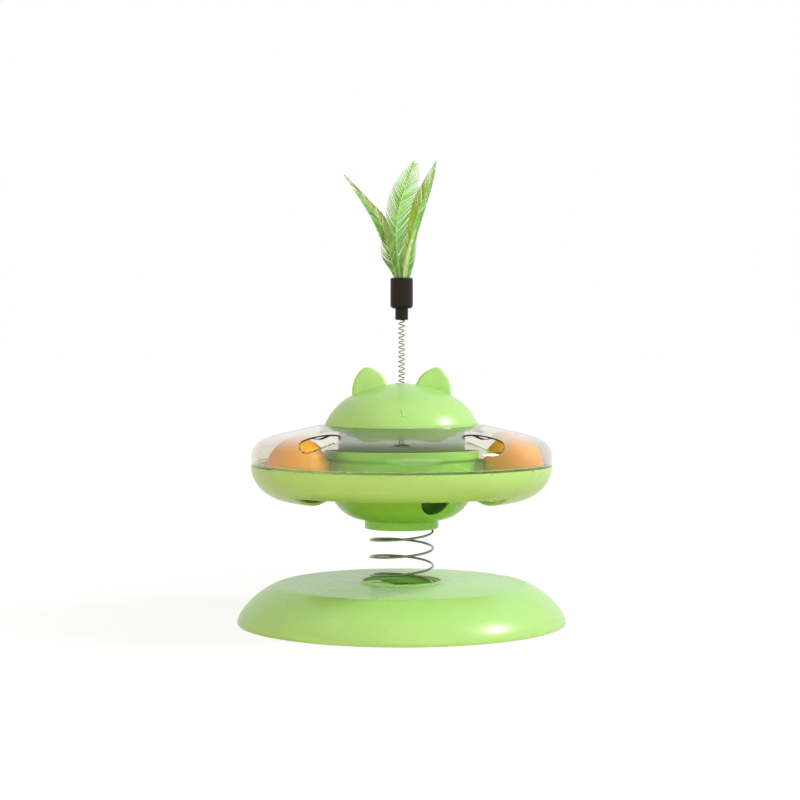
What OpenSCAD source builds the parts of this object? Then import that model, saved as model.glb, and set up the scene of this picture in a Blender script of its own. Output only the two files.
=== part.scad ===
// Spring-mounted cat treat dispenser.
// A weighted base carries a coil spring; on the spring sways a head with a covered ball track,
// a treat bin that empties through a bowl, and an eared lid with a feather teaser on top.
// Millimetres, +Z up, origin at the middle of the base's underside. The front faces -Y.

/* [Base] */
// Radius of the base at the ground
base_r = 100; // [90:1:120]
// Height of the straight edge at the ground
base_edge = 1.5; // [0.5:0.1:4]
// Height of the rounded shoulder above the straight edge
shoulder_h = 21.5; // [18:0.5:28]
// Radius where the shoulder runs out into the plateau
shoulder_r = 72; // [68:0.5:76]
// Fullness of the shoulder: 1 is a straight cone, 2 an ellipse
shoulder_power = 1.4; // [1.2:0.05:2]
// Rise of the plateau from the shoulder to the well
plateau_rise = 1.4; // [1:0.1:5]
// Wall of the base shell
base_wall = 2.2; // [1.6:0.1:3]
// Radius of the well that takes the spring socket
well_r = 23.5; // [22.5:0.1:26]
// Width of the raised rim round the well
well_rim_w = 1.6; // [1:0.1:3]
// Height of the raised rim round the well
well_rim_h = 1.3; // [0.3:0.1:1.5]
// Depth of the collar that hangs inside the well
well_collar_h = 5; // [3:0.5:7]
// Thickness of the bottom plate
floor_t = 2; // [1.6:0.1:3]
// Thickness of the rubber feet, which lifts the bottom plate off the ground
foot_t = 1; // [0.6:0.1:2]
// Radius of a rubber foot
foot_r = 8; // [5:0.5:10]
// Radius of the circle of feet
foot_ring_r = 80; // [70:1:86]
// Number of rubber feet
foot_count = 4; // [3:1:6]
// Inner radius of the steel ballast ring
ballast_in_r = 64; // [60:1:70]
// Outer radius of the steel ballast ring
ballast_out_r = 84; // [76:1:88]
// Height of the steel ballast ring
ballast_h = 8; // [4:0.5:9]
// Radius of the circle of base screws
base_screw_ring_r = 56; // [45:1:58]
// Length of the base screws under the head
base_screw_len = 10; // [8:0.5:13]

/* [Main spring] */
// Outside diameter of the main spring
spring_od = 40; // [38:0.1:40.4]
// Wire of the main spring
spring_wire = 1.8; // [1.4:0.1:2.2]
// Length of the main spring between its two seats
spring_len = 42.2; // [36:0.1:60]
// Turns of the main spring
spring_turns = 4.35; // [3.5:0.05:5]
// Pitch of the closed turn at the foot of the main spring
spring_end_pitch = 4; // [2.8:0.1:5]
// Depth of the spring seat below the plateau at the well
socket_depth = 6.9; // [6:0.1:9]
// Wall of the spring socket
socket_wall = 1.8; // [1.4:0.1:2]
// Height of the spigots that centre the spring at its two ends
spigot_h = 2.4; // [1.5:0.1:3]
// Width of the wall of those spigots
spigot_w = 3.6; // [2:0.1:6]
// Number of twist lugs round the socket
lug_count = 3; // [2:1:4]
// Arc of each twist lug, degrees
lug_arc = 44; // [20:1:70]
// Height of each twist lug
lug_h = 2.2; // [1.2:0.1:3]
// Radius of the collar on top of the spring
cap_r = 22.5; // [22:0.1:24]
// Depth of the skirt on that collar
cap_skirt_h = 1.8; // [1:0.1:3]
// Wall of the skirt on that collar
cap_wall = 1.8; // [1.2:0.1:1.9]
// Thickness of the plate in that collar
cap_t = 2; // [1.5:0.1:3]
// Radius of the circle of collar screws
cap_screw_ring_r = 9; // [7:0.5:11]
// Length of the collar screws under the head
cap_screw_len = 5; // [4:0.5:7]

/* [Treat bowl and bin] */
// Radius of the flat underside of the bowl
bowl_foot_r = 22; // [21:0.1:23]
// Radius of the bowl's rounded side
bowl_round_r = 22; // [21.5:0.1:26]
// Height of the bowl below the ball tray
bowl_h = 17.6; // [14:0.1:18]
// Wall of the bowl
bowl_wall = 2; // [1.6:0.1:2.6]
// Overhang of the lip that hangs the bowl in the tray
bowl_lip_w = 2.5; // [1.5:0.1:3]
// Thickness of the bowl's lip
bowl_lip_t = 1.5; // [1:0.1:2.5]
// Width of the treat outlet
outlet_w = 19.8; // [12:0.1:20]
// Height of the outlet's sill above the bowl's underside
outlet_sill = 6.5; // [3:0.1:8]
// Strip of wall left above the outlet
outlet_head = 0.8; // [0.5:0.1:2]
// Heading of the outlet, degrees from the right-hand side
outlet_az = -61; // [-80:1:-50]
// How far the bin's wall stands outside the bowl's
bin_step = 1.2; // [0.8:0.1:2]
// Wall of the treat bin
bin_wall = 1.8; // [1.4:0.1:2.2]
// Height of the treat bin above the bowl's lip
bin_h = 24.2; // [18:0.1:26]
// Flare of the bin's rim beyond its wall
bin_flare = 2; // [1:0.1:3]
// Height over which the rim flares
bin_flare_h = 1.8; // [1:0.1:4]
// Height of the upright band above the flare
bin_band_h = 6; // [4:0.1:8]
// Width of the bin's foot outside its wall
bin_foot_w = 7.5; // [7.2:0.1:8]
// Thickness of the bin's foot
bin_foot_t = 2; // [1.5:0.1:3]
// Distance of the bin's screws from the edge of its foot
bin_screw_inset = 3; // [2.6:0.1:3]
// Length of the bin screws under the head
bin_screw_len = 7; // [5:0.5:8]

/* [Ball track] */
// Gap between the bin's wall and a ball
bin_gap = 4.4; // [4.2:0.1:6]
// Gap between a ball and the tray's edge at the seam
tray_gap = 5.1; // [4.5:0.1:8]
// Width of the tray's rounded flank
flank_w = 12.6; // [11:0.1:14]
// Height of the tray from its underside to the seam
tray_h = 16.6; // [14:0.1:18]
// Wall of the tray
tray_wall = 1.8; // [1.4:0.1:2.2]
// Diameter of a ball
ball_d = 37; // [34:0.1:37.4]
// Depth of the two ball lobes below the tray's underside
lobe_drop = 4.6; // [3.5:0.1:6]
// Width of the gentle slope on a lobe's inner side
lobe_slope_w = 21.4; // [21:0.1:21.5]
// Width of a lobe's round outer side, which runs into the tray's flank
lobe_round_w = 21.4; // [20.8:0.1:21.8]
// Half the arc of a lobe's outside, degrees
lobe_half_arc = 41; // [39:0.5:44]
// Half the arc of the pocket that a ball rolls in, degrees
pocket_half_arc = 37; // [34:0.5:38]
// Resting place of the left ball, degrees past the middle of its pocket
left_ball_rest = 25; // [0:1:26]
// Number of snap notches along the seam
notch_count = 16; // [8:1:24]
// Length of a snap notch
notch_w = 4; // [2:0.1:6]
// Depth of a snap notch
notch_h = 0.7; // [0.4:0.1:1.2]

/* [Clear cover] */
// Wall of the clear cover
cover_wall = 1.6; // [1.2:0.1:1.8]
// Room between the top of a ball and the height where the cover's cone starts
cover_room = 0.1; // [0:0.1:3]
// Height of the cover's rounded shoulder
cover_shoulder_h = 13.2; // [13:0.1:16]
// Width of the cover's rounded shoulder
cover_shoulder_w = 13.6; // [12:0.1:14]
// Rise of the cone to the collar
cover_rise = 6.4; // [6:0.1:12]
// How far the collar round the lid's seat stands outside the bin's wall
collar_w = 5; // [4.5:0.1:7]
// Depth of the lip that locates the cover in the tray
cover_lip_h = 3; // [2:0.1:4]
// Radius of a paw hole
paw_r = 12.2; // [10:0.1:13]
// How far the middle of a paw hole lies outside the middle of the track
paw_shift = 9; // [2:0.1:9.5]
// Half the angle between the two paw holes at the front, and at the back, degrees
paw_half_angle = 40; // [35:1:50]
// Width of the ledge that carries the lid
ledge_w = 3.5; // [2.5:0.1:4]
// Thickness of that ledge
ledge_t = 2; // [1.5:0.1:2.5]
// Depth of the lid's seat below the collar's top
seat_depth = 2.1; // [1.5:0.1:3]

/* [Lid] */
// Width of the collar's top outside the lid
collar_lip_w = 3.4; // [2.5:0.1:4]
// Height of the lid's upright lip
lid_lip_h = 2.4; // [1.5:0.1:4]
// Height of the lid's dome above the lip
dome_h = 24.3; // [20:0.1:30]
// Wall of the lid
lid_wall = 2.2; // [1.6:0.1:2.6]
// Width of the lid's lip
lid_lip_w = 1.7; // [1.2:0.1:1.9]
// How far the plug under the lid stands inside the lid's edge
plug_inset = 8.1; // [7:0.1:10]
// Wall of that plug
plug_wall = 2; // [1.5:0.1:3]
// Depth of that plug below the lid's lip
plug_h = 7.2; // [4:0.1:9]
// Number of centring lugs on the plug
plug_lug_count = 3; // [3:1:6]
// Arc of each centring lug, degrees
plug_lug_arc = 24; // [10:1:40]
// Distance of an ear's tip from the middle
ear_tip_x = 20.9; // [18:0.1:24]
// Height of an ear's tip above the dome's top
ear_rise = 10; // [6:0.1:14]
// Radius of an ear's rounded tip
ear_tip_r = 6.8; // [5:0.1:7.5]
// Distance of an ear's inner root from the middle
ear_in_x = 11; // [10:0.1:13]
// Distance of an ear's outer root from the middle
ear_out_x = 27; // [25:0.1:28]
// Thickness of an ear at its root
ear_t = 9.6; // [8:0.1:11]
// Depth of the flat cut off the ear's round front
ear_flat = 1.6; // [0.5:0.1:2.5]

/* [Feather teaser] */
// Outside diameter of the teaser spring
wand_od = 4.2; // [3.6:0.1:4.6]
// Wire of the teaser spring
wand_wire = 0.7; // [0.5:0.05:0.8]
// Length of the teaser spring between its two seats
wand_len = 45.5; // [36:0.1:60]
// Turns of the teaser spring
wand_turns = 15.5; // [13:0.5:20]
// Outer radius of the bush in the dome's top
bush_r = 3.8; // [3.4:0.1:4.5]
// Overhang of the bush's flange
bush_flange_w = 0.8; // [0.5:0.1:2]
// Thickness of the bush's flange
bush_flange_t = 0.5; // [0.4:0.1:1.5]
// Depth of the spring seat in the bush
bush_seat_depth = 3.3; // [3:0.1:4.5]
// Thickness of the bush's end wall
bush_end_t = 1; // [0.8:0.1:1.5]
// Radius of the ferrule on the teaser spring
ferrule_r = 3.9; // [3.4:0.1:4.4]
// Length of the ferrule that shows below the feather socket
ferrule_len = 7; // [5:0.1:10]
// Depth of the spring seat in the ferrule
ferrule_seat_depth = 4; // [3:0.1:4.6]
// Length of the ferrule's spigot in the feather socket
ferrule_spigot_len = 5; // [3:0.1:7]
// Radius of the feather socket
quill_socket_r = 6.85; // [6:0.05:8]
// Length of the feather socket
quill_socket_len = 18.6; // [16:0.1:24]
// Rounding of the feather socket's edges
quill_socket_round = 1; // [0.5:0.1:1.5]
// Radius of the feather socket's mouth
quill_mouth_r = 4.2; // [4:0.1:4.6]
// Depth of the feather socket's mouth
quill_mouth_depth = 7; // [5:0.1:9]
// Thickness of a feather's vane at its shaft
vane_t = 0.7; // [0.5:0.05:0.8]
// Length of the left feather
left_feather_len = 76.5; // [60:0.5:90]
// Width of the left feather's vane
left_feather_w = 15; // [9:0.5:16]
// Length of the middle feather
mid_feather_len = 79.2; // [60:0.1:90]
// Width of the middle feather's vane
mid_feather_w = 19; // [12:0.5:22]
// Length of the right feather
right_feather_len = 79; // [60:0.5:90]
// Width of the right feather's vane
right_feather_w = 13; // [9:0.5:15]
// Length of the left tuft
left_tuft_len = 40; // [25:0.5:45]
// Width of the left tuft's vane
left_tuft_w = 11; // [6:0.5:12]
// Length of the right tuft
right_tuft_len = 44; // [25:0.5:48]
// Width of the right tuft's vane
right_tuft_w = 9; // [5:0.5:10]

/* [Fits and fasteners] */
// Gap between pieces that move against each other
run_gap = 0.3; // [0.2:0.05:0.4]
// Gap between pieces that are fitted together
fit_gap = 0.25; // [0.15:0.05:0.4]
// Radius of a screw's shank
screw_r = 1.5; // [1.2:0.1:1.7]
// Radius of a screw's head
screw_head_r = 2.8; // [2.4:0.1:3.2]
// Height of a screw's head
screw_head_h = 1.2; // [1:0.1:1.4]
// Gap between a shank and its hole
screw_gap = 0.1; // [0.05:0.05:0.2]
// Wall of a screw boss
boss_wall = 1.6; // [1.2:0.1:2]

/* [Hidden] */
$fn = 96;

arc_steps = 14;
cut_lap = 0.2;
rings_per_turn = 8;
wire_sides = 6;
shell_green = "#a3e07c";
deep_green = "#8fd463";
steel = "#c9c6bd";

// Heights, worked out from the ground up
floor_z = foot_t;
floor_top_z = floor_z + floor_t;
shoulder_top_z = base_edge + shoulder_h;
well_top_z = shoulder_top_z + plateau_rise;
socket_z = well_top_z - socket_depth;
cap_ceiling_z = socket_z + spring_len;
bowl_z = cap_ceiling_z + cap_t;
tray_z = bowl_z + bowl_h;
tray_floor_z = tray_z + tray_wall;
bin_z = tray_floor_z + bowl_lip_t;
seam_z = tray_z + tray_h;
ball_r = ball_d / 2;
ball_z = tray_z - lobe_drop + tray_wall + run_gap + ball_r;
cone_foot_z = ball_z + ball_r + cover_room;
cover_side = cone_foot_z - cover_shoulder_h - seam_z;
collar_top_z = cone_foot_z + cover_rise;
seat_z = collar_top_z - seat_depth;
lid_z = seat_z + run_gap;
lip_top_z = lid_z + lid_lip_h;
dome_top_z = lip_top_z + dome_h;
bush_top_z = dome_top_z + bush_flange_t;
wand_z = bush_top_z - bush_seat_depth;
ferrule_z = wand_z + wand_len - ferrule_seat_depth;
quill_socket_z = ferrule_z + ferrule_len;
quill_socket_top_z = quill_socket_z + quill_socket_len;
quill_z = quill_socket_top_z - quill_mouth_depth;

// Radii that follow from the pieces they meet
floor_rise = max(0, floor_top_z - base_edge) / (shoulder_h - base_wall);
floor_r = shoulder_r - fit_gap
    + (base_r - shoulder_r - base_wall) * pow(1 - pow(floor_rise, shoulder_power), 1 / shoulder_power);
socket_r = well_r - fit_gap;
spring_mid_r = (spring_od - spring_wire) / 2;
spigot_r = spring_mid_r * cos(180 / rings_per_turn) - spring_wire / 2 - run_gap;
bowl_top_a = acos(1 - (bowl_h + tray_wall) / bowl_round_r);
bowl_top_r = bowl_foot_r + bowl_round_r * sin(bowl_top_a);
bowl_lip_r = bowl_top_r + bowl_lip_w;
bin_r = bowl_top_r + bin_step;
bin_foot_r = bin_r + bin_foot_w;
bin_screw_ring_r = bin_foot_r - bin_screw_inset;
track_r = bin_r + bin_gap + ball_r;
tray_r = track_r + ball_r + tray_gap;
tray_flat_r = tray_r - flank_w;
cover_shoulder_r = tray_r - cover_shoulder_w;
paw_ring_r = track_r + paw_shift;
collar_r = bin_r + collar_w;
lid_r = collar_r - collar_lip_w;
plug_r = lid_r - plug_inset;
dome_r = (lid_r * lid_r + dome_h * dome_h) / (2 * dome_h);
dome_mid_z = dome_top_z - dome_r;
lid_seat_r = lid_r + fit_gap;
ledge_in_r = lid_seat_r - ledge_w;
wand_seat_r = wand_od / 2 + run_gap;

function unit(v) = v / norm(v);

// Height of the plateau at radius r, from the shoulder in to the well
function plateau_z(r) = shoulder_top_z + plateau_rise * (shoulder_r - r) / (shoulder_r - well_r);

// Quarter of a superellipse from its outermost point up to its top
function shoulder(mid_r, foot_z, half_w, h, power) = [
    for (i = [0:arc_steps])
        let (a = 90 * i / arc_steps)
        [mid_r + half_w * pow(cos(a), 2 / power), foot_z + h * pow(sin(a), 2 / power)]
];

// The same quarter turned down, from the flat underside out to the seam
function flank(mid_r, top_z, half_w, h) = [
    for (i = [0:arc_steps])
        let (a = 90 * i / arc_steps)
        [mid_r + half_w * sin(a), top_z - h * cos(a)]
];

function reversed(list) = [for (i = [len(list) - 1:-1:0]) list[i]];

module ring(in_r, out_r, z, h) {
    translate([0, 0, z])
        rotate_extrude()
            translate([in_r, 0])
                square([out_r - in_r, h]);
}

module ring_arc(in_r, out_r, z, h, mid_a, arc) {
    translate([0, 0, z])
        rotate([0, 0, mid_a - arc / 2])
            rotate_extrude(angle = arc)
                translate([in_r, 0])
                    square([out_r - in_r, h]);
}

module spread(count, ring_r, first_a = 0) {
    for (i = [0:count - 1])
        rotate([0, 0, first_a + 360 * i / count])
            translate([ring_r, 0, 0])
                children();
}

// A pan-head screw that is driven upwards, its head's underside at the origin
module screw(len) {
    translate([0, 0, -screw_head_h])
        cylinder(r = screw_head_r, h = screw_head_h);
    translate([0, 0, -screw_head_h / 2])
        cylinder(r = screw_r, h = len + screw_head_h / 2);
}

// Places of the bin's screws: two at the front and two at the back, clear of the ball pockets
module bin_screw_places() {
    for (side = [90, 270], off = [-24, 24])
        rotate([0, 0, side + off])
            translate([bin_screw_ring_r, 0, 0])
                children();
}

// A round wire swept along a list of points, as one closed skin of triangles.
// Each point is [radius, heading, height], and a ring at a bend is stretched across the bend.
function coil_point(p) = [p[0] * cos(p[1]), p[0] * sin(p[1]), p[2]];

function coil_ring(path, i, wire_r) =
    let (
        last = len(path) - 1,
        here = coil_point(path[i]),
        before = unit(here - coil_point(path[max(i - 1, 0)]) + (i == 0 ? [0, 0, 1] : [0, 0, 0])),
        after = i == last ? before : unit(coil_point(path[i + 1]) - here),
        run = unit(before + after),
        bend = norm(after - before) < 0.001 ? [0, 0, 0] : unit(after - before),
        out = [cos(path[i][1]), sin(path[i][1]), 0],
        across = unit(out - (out * run) * run),
        up = cross(run, across),
        stretch = 1 / (run * before) - 1
    )
    [for (k = [0:wire_sides - 1])
        let (
            a = 360 * k / wire_sides,
            v = cos(a) * across + sin(a) * up
        )
        here + wire_r * (v + stretch * (v * bend) * bend)];

function tube_faces(rings, sides) = concat(
    [for (k = [1:sides - 2]) [0, k, k + 1]],
    [for (i = [0:rings - 2], k = [0:sides - 1])
        let (n = (k + 1) % sides)
        each [
            [i * sides + k, (i + 1) * sides + k, i * sides + n],
            [i * sides + n, (i + 1) * sides + k, (i + 1) * sides + n]
        ]],
    [for (k = [1:sides - 2]) (rings - 1) * sides * [1, 1, 1] + [0, k + 1, k]]
);

// Points of a coil that turns to the right as it climbs, with a straight end at its foot and its top
function coil_path(mid_r, wire, z, h, turns, end_pitch, foot_a) =
    let (
        foot_z = z + wire,
        climb = h - 2 * wire,
        pitch = (climb - end_pitch) / (turns - 1),
        steps = ceil(turns * rings_per_turn)
    )
    concat(
        [[mid_r, foot_a, z]],
        [for (i = [0:steps])
            let (t = turns * i / steps)
            [mid_r, foot_a + 360 * t, foot_z + end_pitch * min(t, 1) + pitch * max(t - 1, 0)]],
        [[mid_r, foot_a + 360 * turns, z + h]]
    );

// Least gap of a coil to itself, measured between points over half a turn apart
function least_gap(path, wire) = min([
    for (i = [0:len(path) - 1], j = [i + rings_per_turn / 2 + 2:1:len(path) - 1])
        norm(coil_point(path[i]) - coil_point(path[j])) - wire
]);

module coil(path, wire) {
    rings = [for (i = [0:len(path) - 1]) each coil_ring(path, i, wire / 2)];
    polyhedron(points = rings, faces = tube_faces(len(path), wire_sides));
}

// Outline of the base's upper skin, set in from the outside by the given inset
function base_skin(inset) = concat(
    shoulder(shoulder_r, base_edge, base_r - shoulder_r - inset, shoulder_h - inset, shoulder_power),
    [[well_r, well_top_z - inset]]
);

module base_shell() {
    boss_r = screw_r + screw_gap + boss_wall;
    color(shell_green)
        difference() {
            union() {
                rotate_extrude()
                    polygon(concat(
                        [[base_r, 0]],
                        base_skin(0),
                        reversed(base_skin(base_wall)),
                        [[base_r - base_wall, 0]]
                    ));
                ring(well_r, well_r + well_rim_w, well_top_z - base_wall / 2, well_rim_h + base_wall / 2);
                ring(well_r, well_r + base_wall, well_top_z - well_collar_h, well_collar_h - base_wall / 2);
                spread(4, base_screw_ring_r, 45)
                    translate([0, 0, floor_top_z])
                        cylinder(r = boss_r, h = plateau_z(base_screw_ring_r) - base_wall / 2 - floor_top_z);
            }
            spread(4, base_screw_ring_r, 45)
                translate([0, 0, floor_top_z - 1])
                    cylinder(r = screw_r + screw_gap, h = base_screw_len + 1);
        }
}

module base_floor() {
    color(deep_green)
        difference() {
            union() {
                translate([0, 0, floor_z])
                    cylinder(r = floor_r, h = floor_t);
                ring(socket_r - 8, socket_r - 3, floor_z + floor_t / 2,
                    socket_z - floor_t - floor_z - floor_t / 2);
            }
            spread(4, base_screw_ring_r, 45) {
                translate([0, 0, floor_z - 1])
                    cylinder(r = screw_r + screw_gap, h = floor_t + 2);
                translate([0, 0, floor_z - 1])
                    cylinder(r = screw_head_r + fit_gap, h = screw_head_h + 1);
            }
        }
}

module base_ballast() {
    color("#6f7276")
        ring(ballast_in_r, ballast_out_r, floor_top_z, ballast_h);
}

module base_feet() {
    color("#3d4038")
        spread(foot_count, foot_ring_r, 0)
            cylinder(r = foot_r, h = foot_t);
}

module base_screws() {
    color(steel)
        spread(4, base_screw_ring_r, 45)
            translate([0, 0, floor_z + screw_head_h])
                screw(base_screw_len);
}

module spring_socket() {
    in_r = socket_r - socket_wall;
    color(shell_green)
        union() {
            rotate_extrude()
                polygon([
                    [0, socket_z - floor_t],
                    [socket_r, socket_z - floor_t],
                    [socket_r, well_top_z],
                    [in_r, well_top_z],
                    [in_r, socket_z],
                    [0, socket_z]
                ]);
            ring(spigot_r - spigot_w, spigot_r, socket_z - floor_t / 2, spigot_h + floor_t / 2);
            for (i = [0:lug_count - 1])
                ring_arc(spring_od / 2 + run_gap, in_r + socket_wall / 2, well_top_z - lug_h, lug_h,
                    100 + 360 * i / lug_count, lug_arc);
        }
}

main_path = coil_path(spring_mid_r, spring_wire, socket_z, spring_len, spring_turns,
    spring_end_pitch, -360 * (spring_turns - 0.25));

module main_spring() {
    color(steel)
        coil(main_path, spring_wire);
}

module spring_cap() {
    color(deep_green)
        difference() {
            union() {
                rotate_extrude()
                    polygon([
                        [0, cap_ceiling_z],
                        [cap_r - cap_wall, cap_ceiling_z],
                        [cap_r - cap_wall, cap_ceiling_z - cap_skirt_h],
                        [cap_r - cap_wall / 2, cap_ceiling_z - cap_skirt_h],
                        [cap_r, cap_ceiling_z - cap_skirt_h + cap_wall / 2],
                        [cap_r, bowl_z],
                        [0, bowl_z]
                    ]);
                ring(spigot_r - spigot_w, spigot_r, cap_ceiling_z - spigot_h, spigot_h + cap_t / 2);
            }
            spread(3, cap_screw_ring_r, 30)
                translate([0, 0, cap_ceiling_z - 1])
                    cylinder(r = screw_r + screw_gap, h = cap_t + 2);
        }
}

module cap_screws() {
    color(steel)
        spread(3, cap_screw_ring_r, 30)
            translate([0, 0, cap_ceiling_z])
                screw(cap_screw_len);
}

// One side of the bowl's wall, from the flat underside up to the tray's floor
function bowl_side(inset) = [
    for (i = [0:arc_steps])
        let (a = bowl_top_a * i / arc_steps)
        [
            bowl_foot_r + (bowl_round_r - inset) * sin(a),
            bowl_z + bowl_round_r - (bowl_round_r - inset) * cos(a)
        ]
];

module treat_bowl() {
    boss_h = cap_screw_len - cap_t + boss_wall;
    outlet_r = outlet_w / 2;
    color(deep_green)
        difference() {
            union() {
                rotate_extrude()
                    polygon(concat(
                        [[0, bowl_z]],
                        bowl_side(0),
                        [[bowl_lip_r, tray_floor_z], [bowl_lip_r, bin_z], [bowl_top_r - bowl_wall, bin_z]],
                        reversed(bowl_side(bowl_wall)),
                        [[0, bowl_z + bowl_wall]]
                    ));
                spread(3, cap_screw_ring_r, 30)
                    translate([0, 0, bowl_z + bowl_wall / 2])
                        cylinder(r = screw_r + screw_gap + boss_wall, h = boss_h - bowl_wall / 2);
            }
            spread(3, cap_screw_ring_r, 30)
                translate([0, 0, bowl_z - 1])
                    cylinder(r = screw_r + screw_gap, h = cap_screw_len - cap_t + screw_gap + 1);
            rotate([0, 0, outlet_az])
                intersection() {
                    translate([bowl_foot_r, 0, bowl_z + outlet_sill + outlet_r])
                        rotate([0, 90, 0])
                            cylinder(r = outlet_r, h = bowl_lip_r);
                    translate([0, -outlet_r, bowl_z])
                        cube([2 * bowl_lip_r, outlet_w, bowl_h - outlet_head]);
                }
        }
}

module bin_screws() {
    color(steel)
        bin_screw_places()
            translate([0, 0, tray_z])
                screw(bin_screw_len);
}

module treat_bin() {
    top_z = bin_z + bin_h;
    band_z = top_z - bin_band_h;
    in_r = bin_r - bin_wall;
    color(deep_green)
        difference() {
            union() {
                rotate_extrude()
                    polygon([
                        [in_r, bin_z],
                        [bin_foot_r, bin_z],
                        [bin_foot_r, bin_z + bin_foot_t],
                        [bin_r, bin_z + bin_foot_t],
                        [bin_r, band_z - bin_flare_h],
                        [bin_r + bin_flare, band_z],
                        [bin_r + bin_flare, top_z],
                        [in_r + bin_flare, top_z],
                        [in_r + bin_flare, band_z],
                        [in_r, band_z - bin_flare_h]
                    ]);
                bin_screw_places()
                    translate([0, 0, tray_floor_z])
                        cylinder(r = screw_r + screw_gap + boss_wall,
                            h = bin_screw_len - tray_wall + boss_wall);
            }
            bin_screw_places()
                translate([0, 0, tray_z])
                    cylinder(r = screw_r + screw_gap, h = bin_screw_len + screw_gap);
        }
}

// Outline of the tray's skin through a lobe, set in by the given inset: a gentle slope that leaves the
// tray's floor and falls to the deepest line, then a quarter of an ellipse that runs into the flank
function lobe_skin(inset) = concat(
    [for (i = [0:arc_steps - 1])
        let (s = i / arc_steps, lift = tray_wall * 0.4)
        [
            track_r - lobe_slope_w * (1 - s),
            tray_z + inset + lift - (lobe_drop + lift) * (1 - cos(180 * s)) / 2
        ]],
    flank(track_r, seam_z, lobe_round_w - inset, tray_h + lobe_drop - inset)
);

// An outline swept along a lobe, cut off above the given height
module lobe_arc(outline, half_arc, top_z) {
    intersection() {
        rotate([0, 0, -half_arc])
            rotate_extrude(angle = 2 * half_arc)
                polygon(outline);
        cylinder(r = tray_r + 1, h = top_z);
    }
}

// Half the width that a ball needs in the tray's floor at the given height
function ball_half_w(z) = run_gap + sqrt(pow(ball_r + run_gap, 2) - pow(ball_z - z, 2));

module ball_tray() {
    foot_w = ball_half_w(tray_z);
    top_w = ball_half_w(tray_floor_z + 1);
    pocket = [
        [track_r - foot_w, tray_z - cut_lap],
        [track_r + foot_w, tray_z - cut_lap],
        [track_r + top_w, tray_floor_z + 1],
        [track_r - top_w, tray_floor_z + 1]
    ];
    hole_r = bowl_top_r + fit_gap;
    color(shell_green)
        difference() {
            union() {
                rotate_extrude()
                    polygon(concat(
                        [[hole_r, tray_z]],
                        flank(tray_flat_r, seam_z, flank_w, tray_h),
                        reversed(flank(tray_flat_r, seam_z, flank_w - tray_wall, tray_h - tray_wall)),
                        [[hole_r, tray_floor_z]]
                    ));
                for (side = [0, 180])
                    rotate([0, 0, side])
                        lobe_arc(lobe_skin(0), lobe_half_arc, tray_z + tray_wall / 2);
            }
            for (side = [0, 180])
                rotate([0, 0, side]) {
                    lobe_arc(lobe_skin(tray_wall), lobe_half_arc + 1, tray_z + cut_lap);
                    lobe_arc(pocket, pocket_half_arc, seam_z);
                }
            bin_screw_places()
                translate([0, 0, tray_z - 1])
                    cylinder(r = screw_r + screw_gap, h = tray_wall + 2);
            spread(notch_count, tray_r, 180 / notch_count)
                translate([-tray_wall / 2, -notch_w / 2, seam_z - notch_h])
                    cube([tray_wall, notch_w, 2 * notch_h]);
        }
}

// Outline of the cover's skin from the seam to the collar, set in by the given inset
function cover_skin(inset) = concat(
    [[tray_r - inset, seam_z]],
    shoulder(cover_shoulder_r, seam_z + cover_side, cover_shoulder_w - inset, cover_shoulder_h - inset, 2),
    [[collar_r, collar_top_z - inset]]
);

module track_cover() {
    lip_drop = cover_lip_h / (tray_h - tray_wall);
    lip_r = tray_flat_r - fit_gap + (flank_w - tray_wall) * sqrt(1 - lip_drop * lip_drop);
    color("#e6ddd0", 0.4)
        difference() {
            union() {
                rotate_extrude()
                    polygon(concat(cover_skin(0), reversed(cover_skin(cover_wall))));
                rotate_extrude()
                    polygon([
                        [lip_r - cover_wall, seam_z - cover_lip_h],
                        [lip_r, seam_z - cover_lip_h],
                        [lip_r, seam_z],
                        [tray_r - cover_wall / 2, seam_z],
                        [tray_r - cover_wall / 2, seam_z + cover_side / 2],
                        [lip_r - cover_wall, seam_z]
                    ]);
                rotate_extrude()
                    polygon([
                        [ledge_in_r, seat_z - ledge_t],
                        [collar_r + cover_wall, seat_z - ledge_t],
                        [collar_r, collar_top_z],
                        [lid_seat_r, collar_top_z],
                        [lid_seat_r, seat_z],
                        [ledge_in_r, seat_z]
                    ]);
            }
            for (side = [90, 270], off = [-paw_half_angle, paw_half_angle])
                rotate([0, 0, side + off])
                    translate([paw_ring_r, 0, seam_z + cover_side])
                        cylinder(r = paw_r, h = collar_top_z - seam_z);
        }
}

module ball_left() {
    color("#f2a63c")
        rotate([0, 0, 180 + left_ball_rest])
            translate([track_r, 0, ball_z])
                sphere(r = ball_r);
}

module ball_right() {
    color("#f2a63c")
        translate([track_r, 0, ball_z])
            sphere(r = ball_r);
}

// One plump ear with a flat front, rooted in the dome's wall
module ear(side) {
    root_r = ear_t / 2;
    tip_z = dome_top_z + ear_rise - ear_tip_r;
    in_z = dome_mid_z + sqrt(pow(dome_r - root_r, 2) - ear_in_x * ear_in_x);
    out_z = dome_mid_z + sqrt(pow(dome_r - root_r, 2) - ear_out_x * ear_out_x);
    difference() {
        hull($fn = 32) {
            translate([side * ear_tip_x, 0, tip_z])
                scale([1, root_r / ear_tip_r, 1])
                    sphere(r = ear_tip_r, $fn = 32);
            translate([side * ear_in_x, 0, in_z])
                sphere(r = root_r, $fn = 32);
            translate([side * ear_out_x, 0, out_z])
                sphere(r = root_r, $fn = 32);
        }
        translate([0, 0, dome_mid_z])
            sphere(r = dome_r - lid_wall / 2);
        translate([-dome_r, -dome_r - root_r + ear_flat, dome_mid_z])
            cube([2 * dome_r, dome_r, 2 * dome_r]);
    }
}

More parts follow.
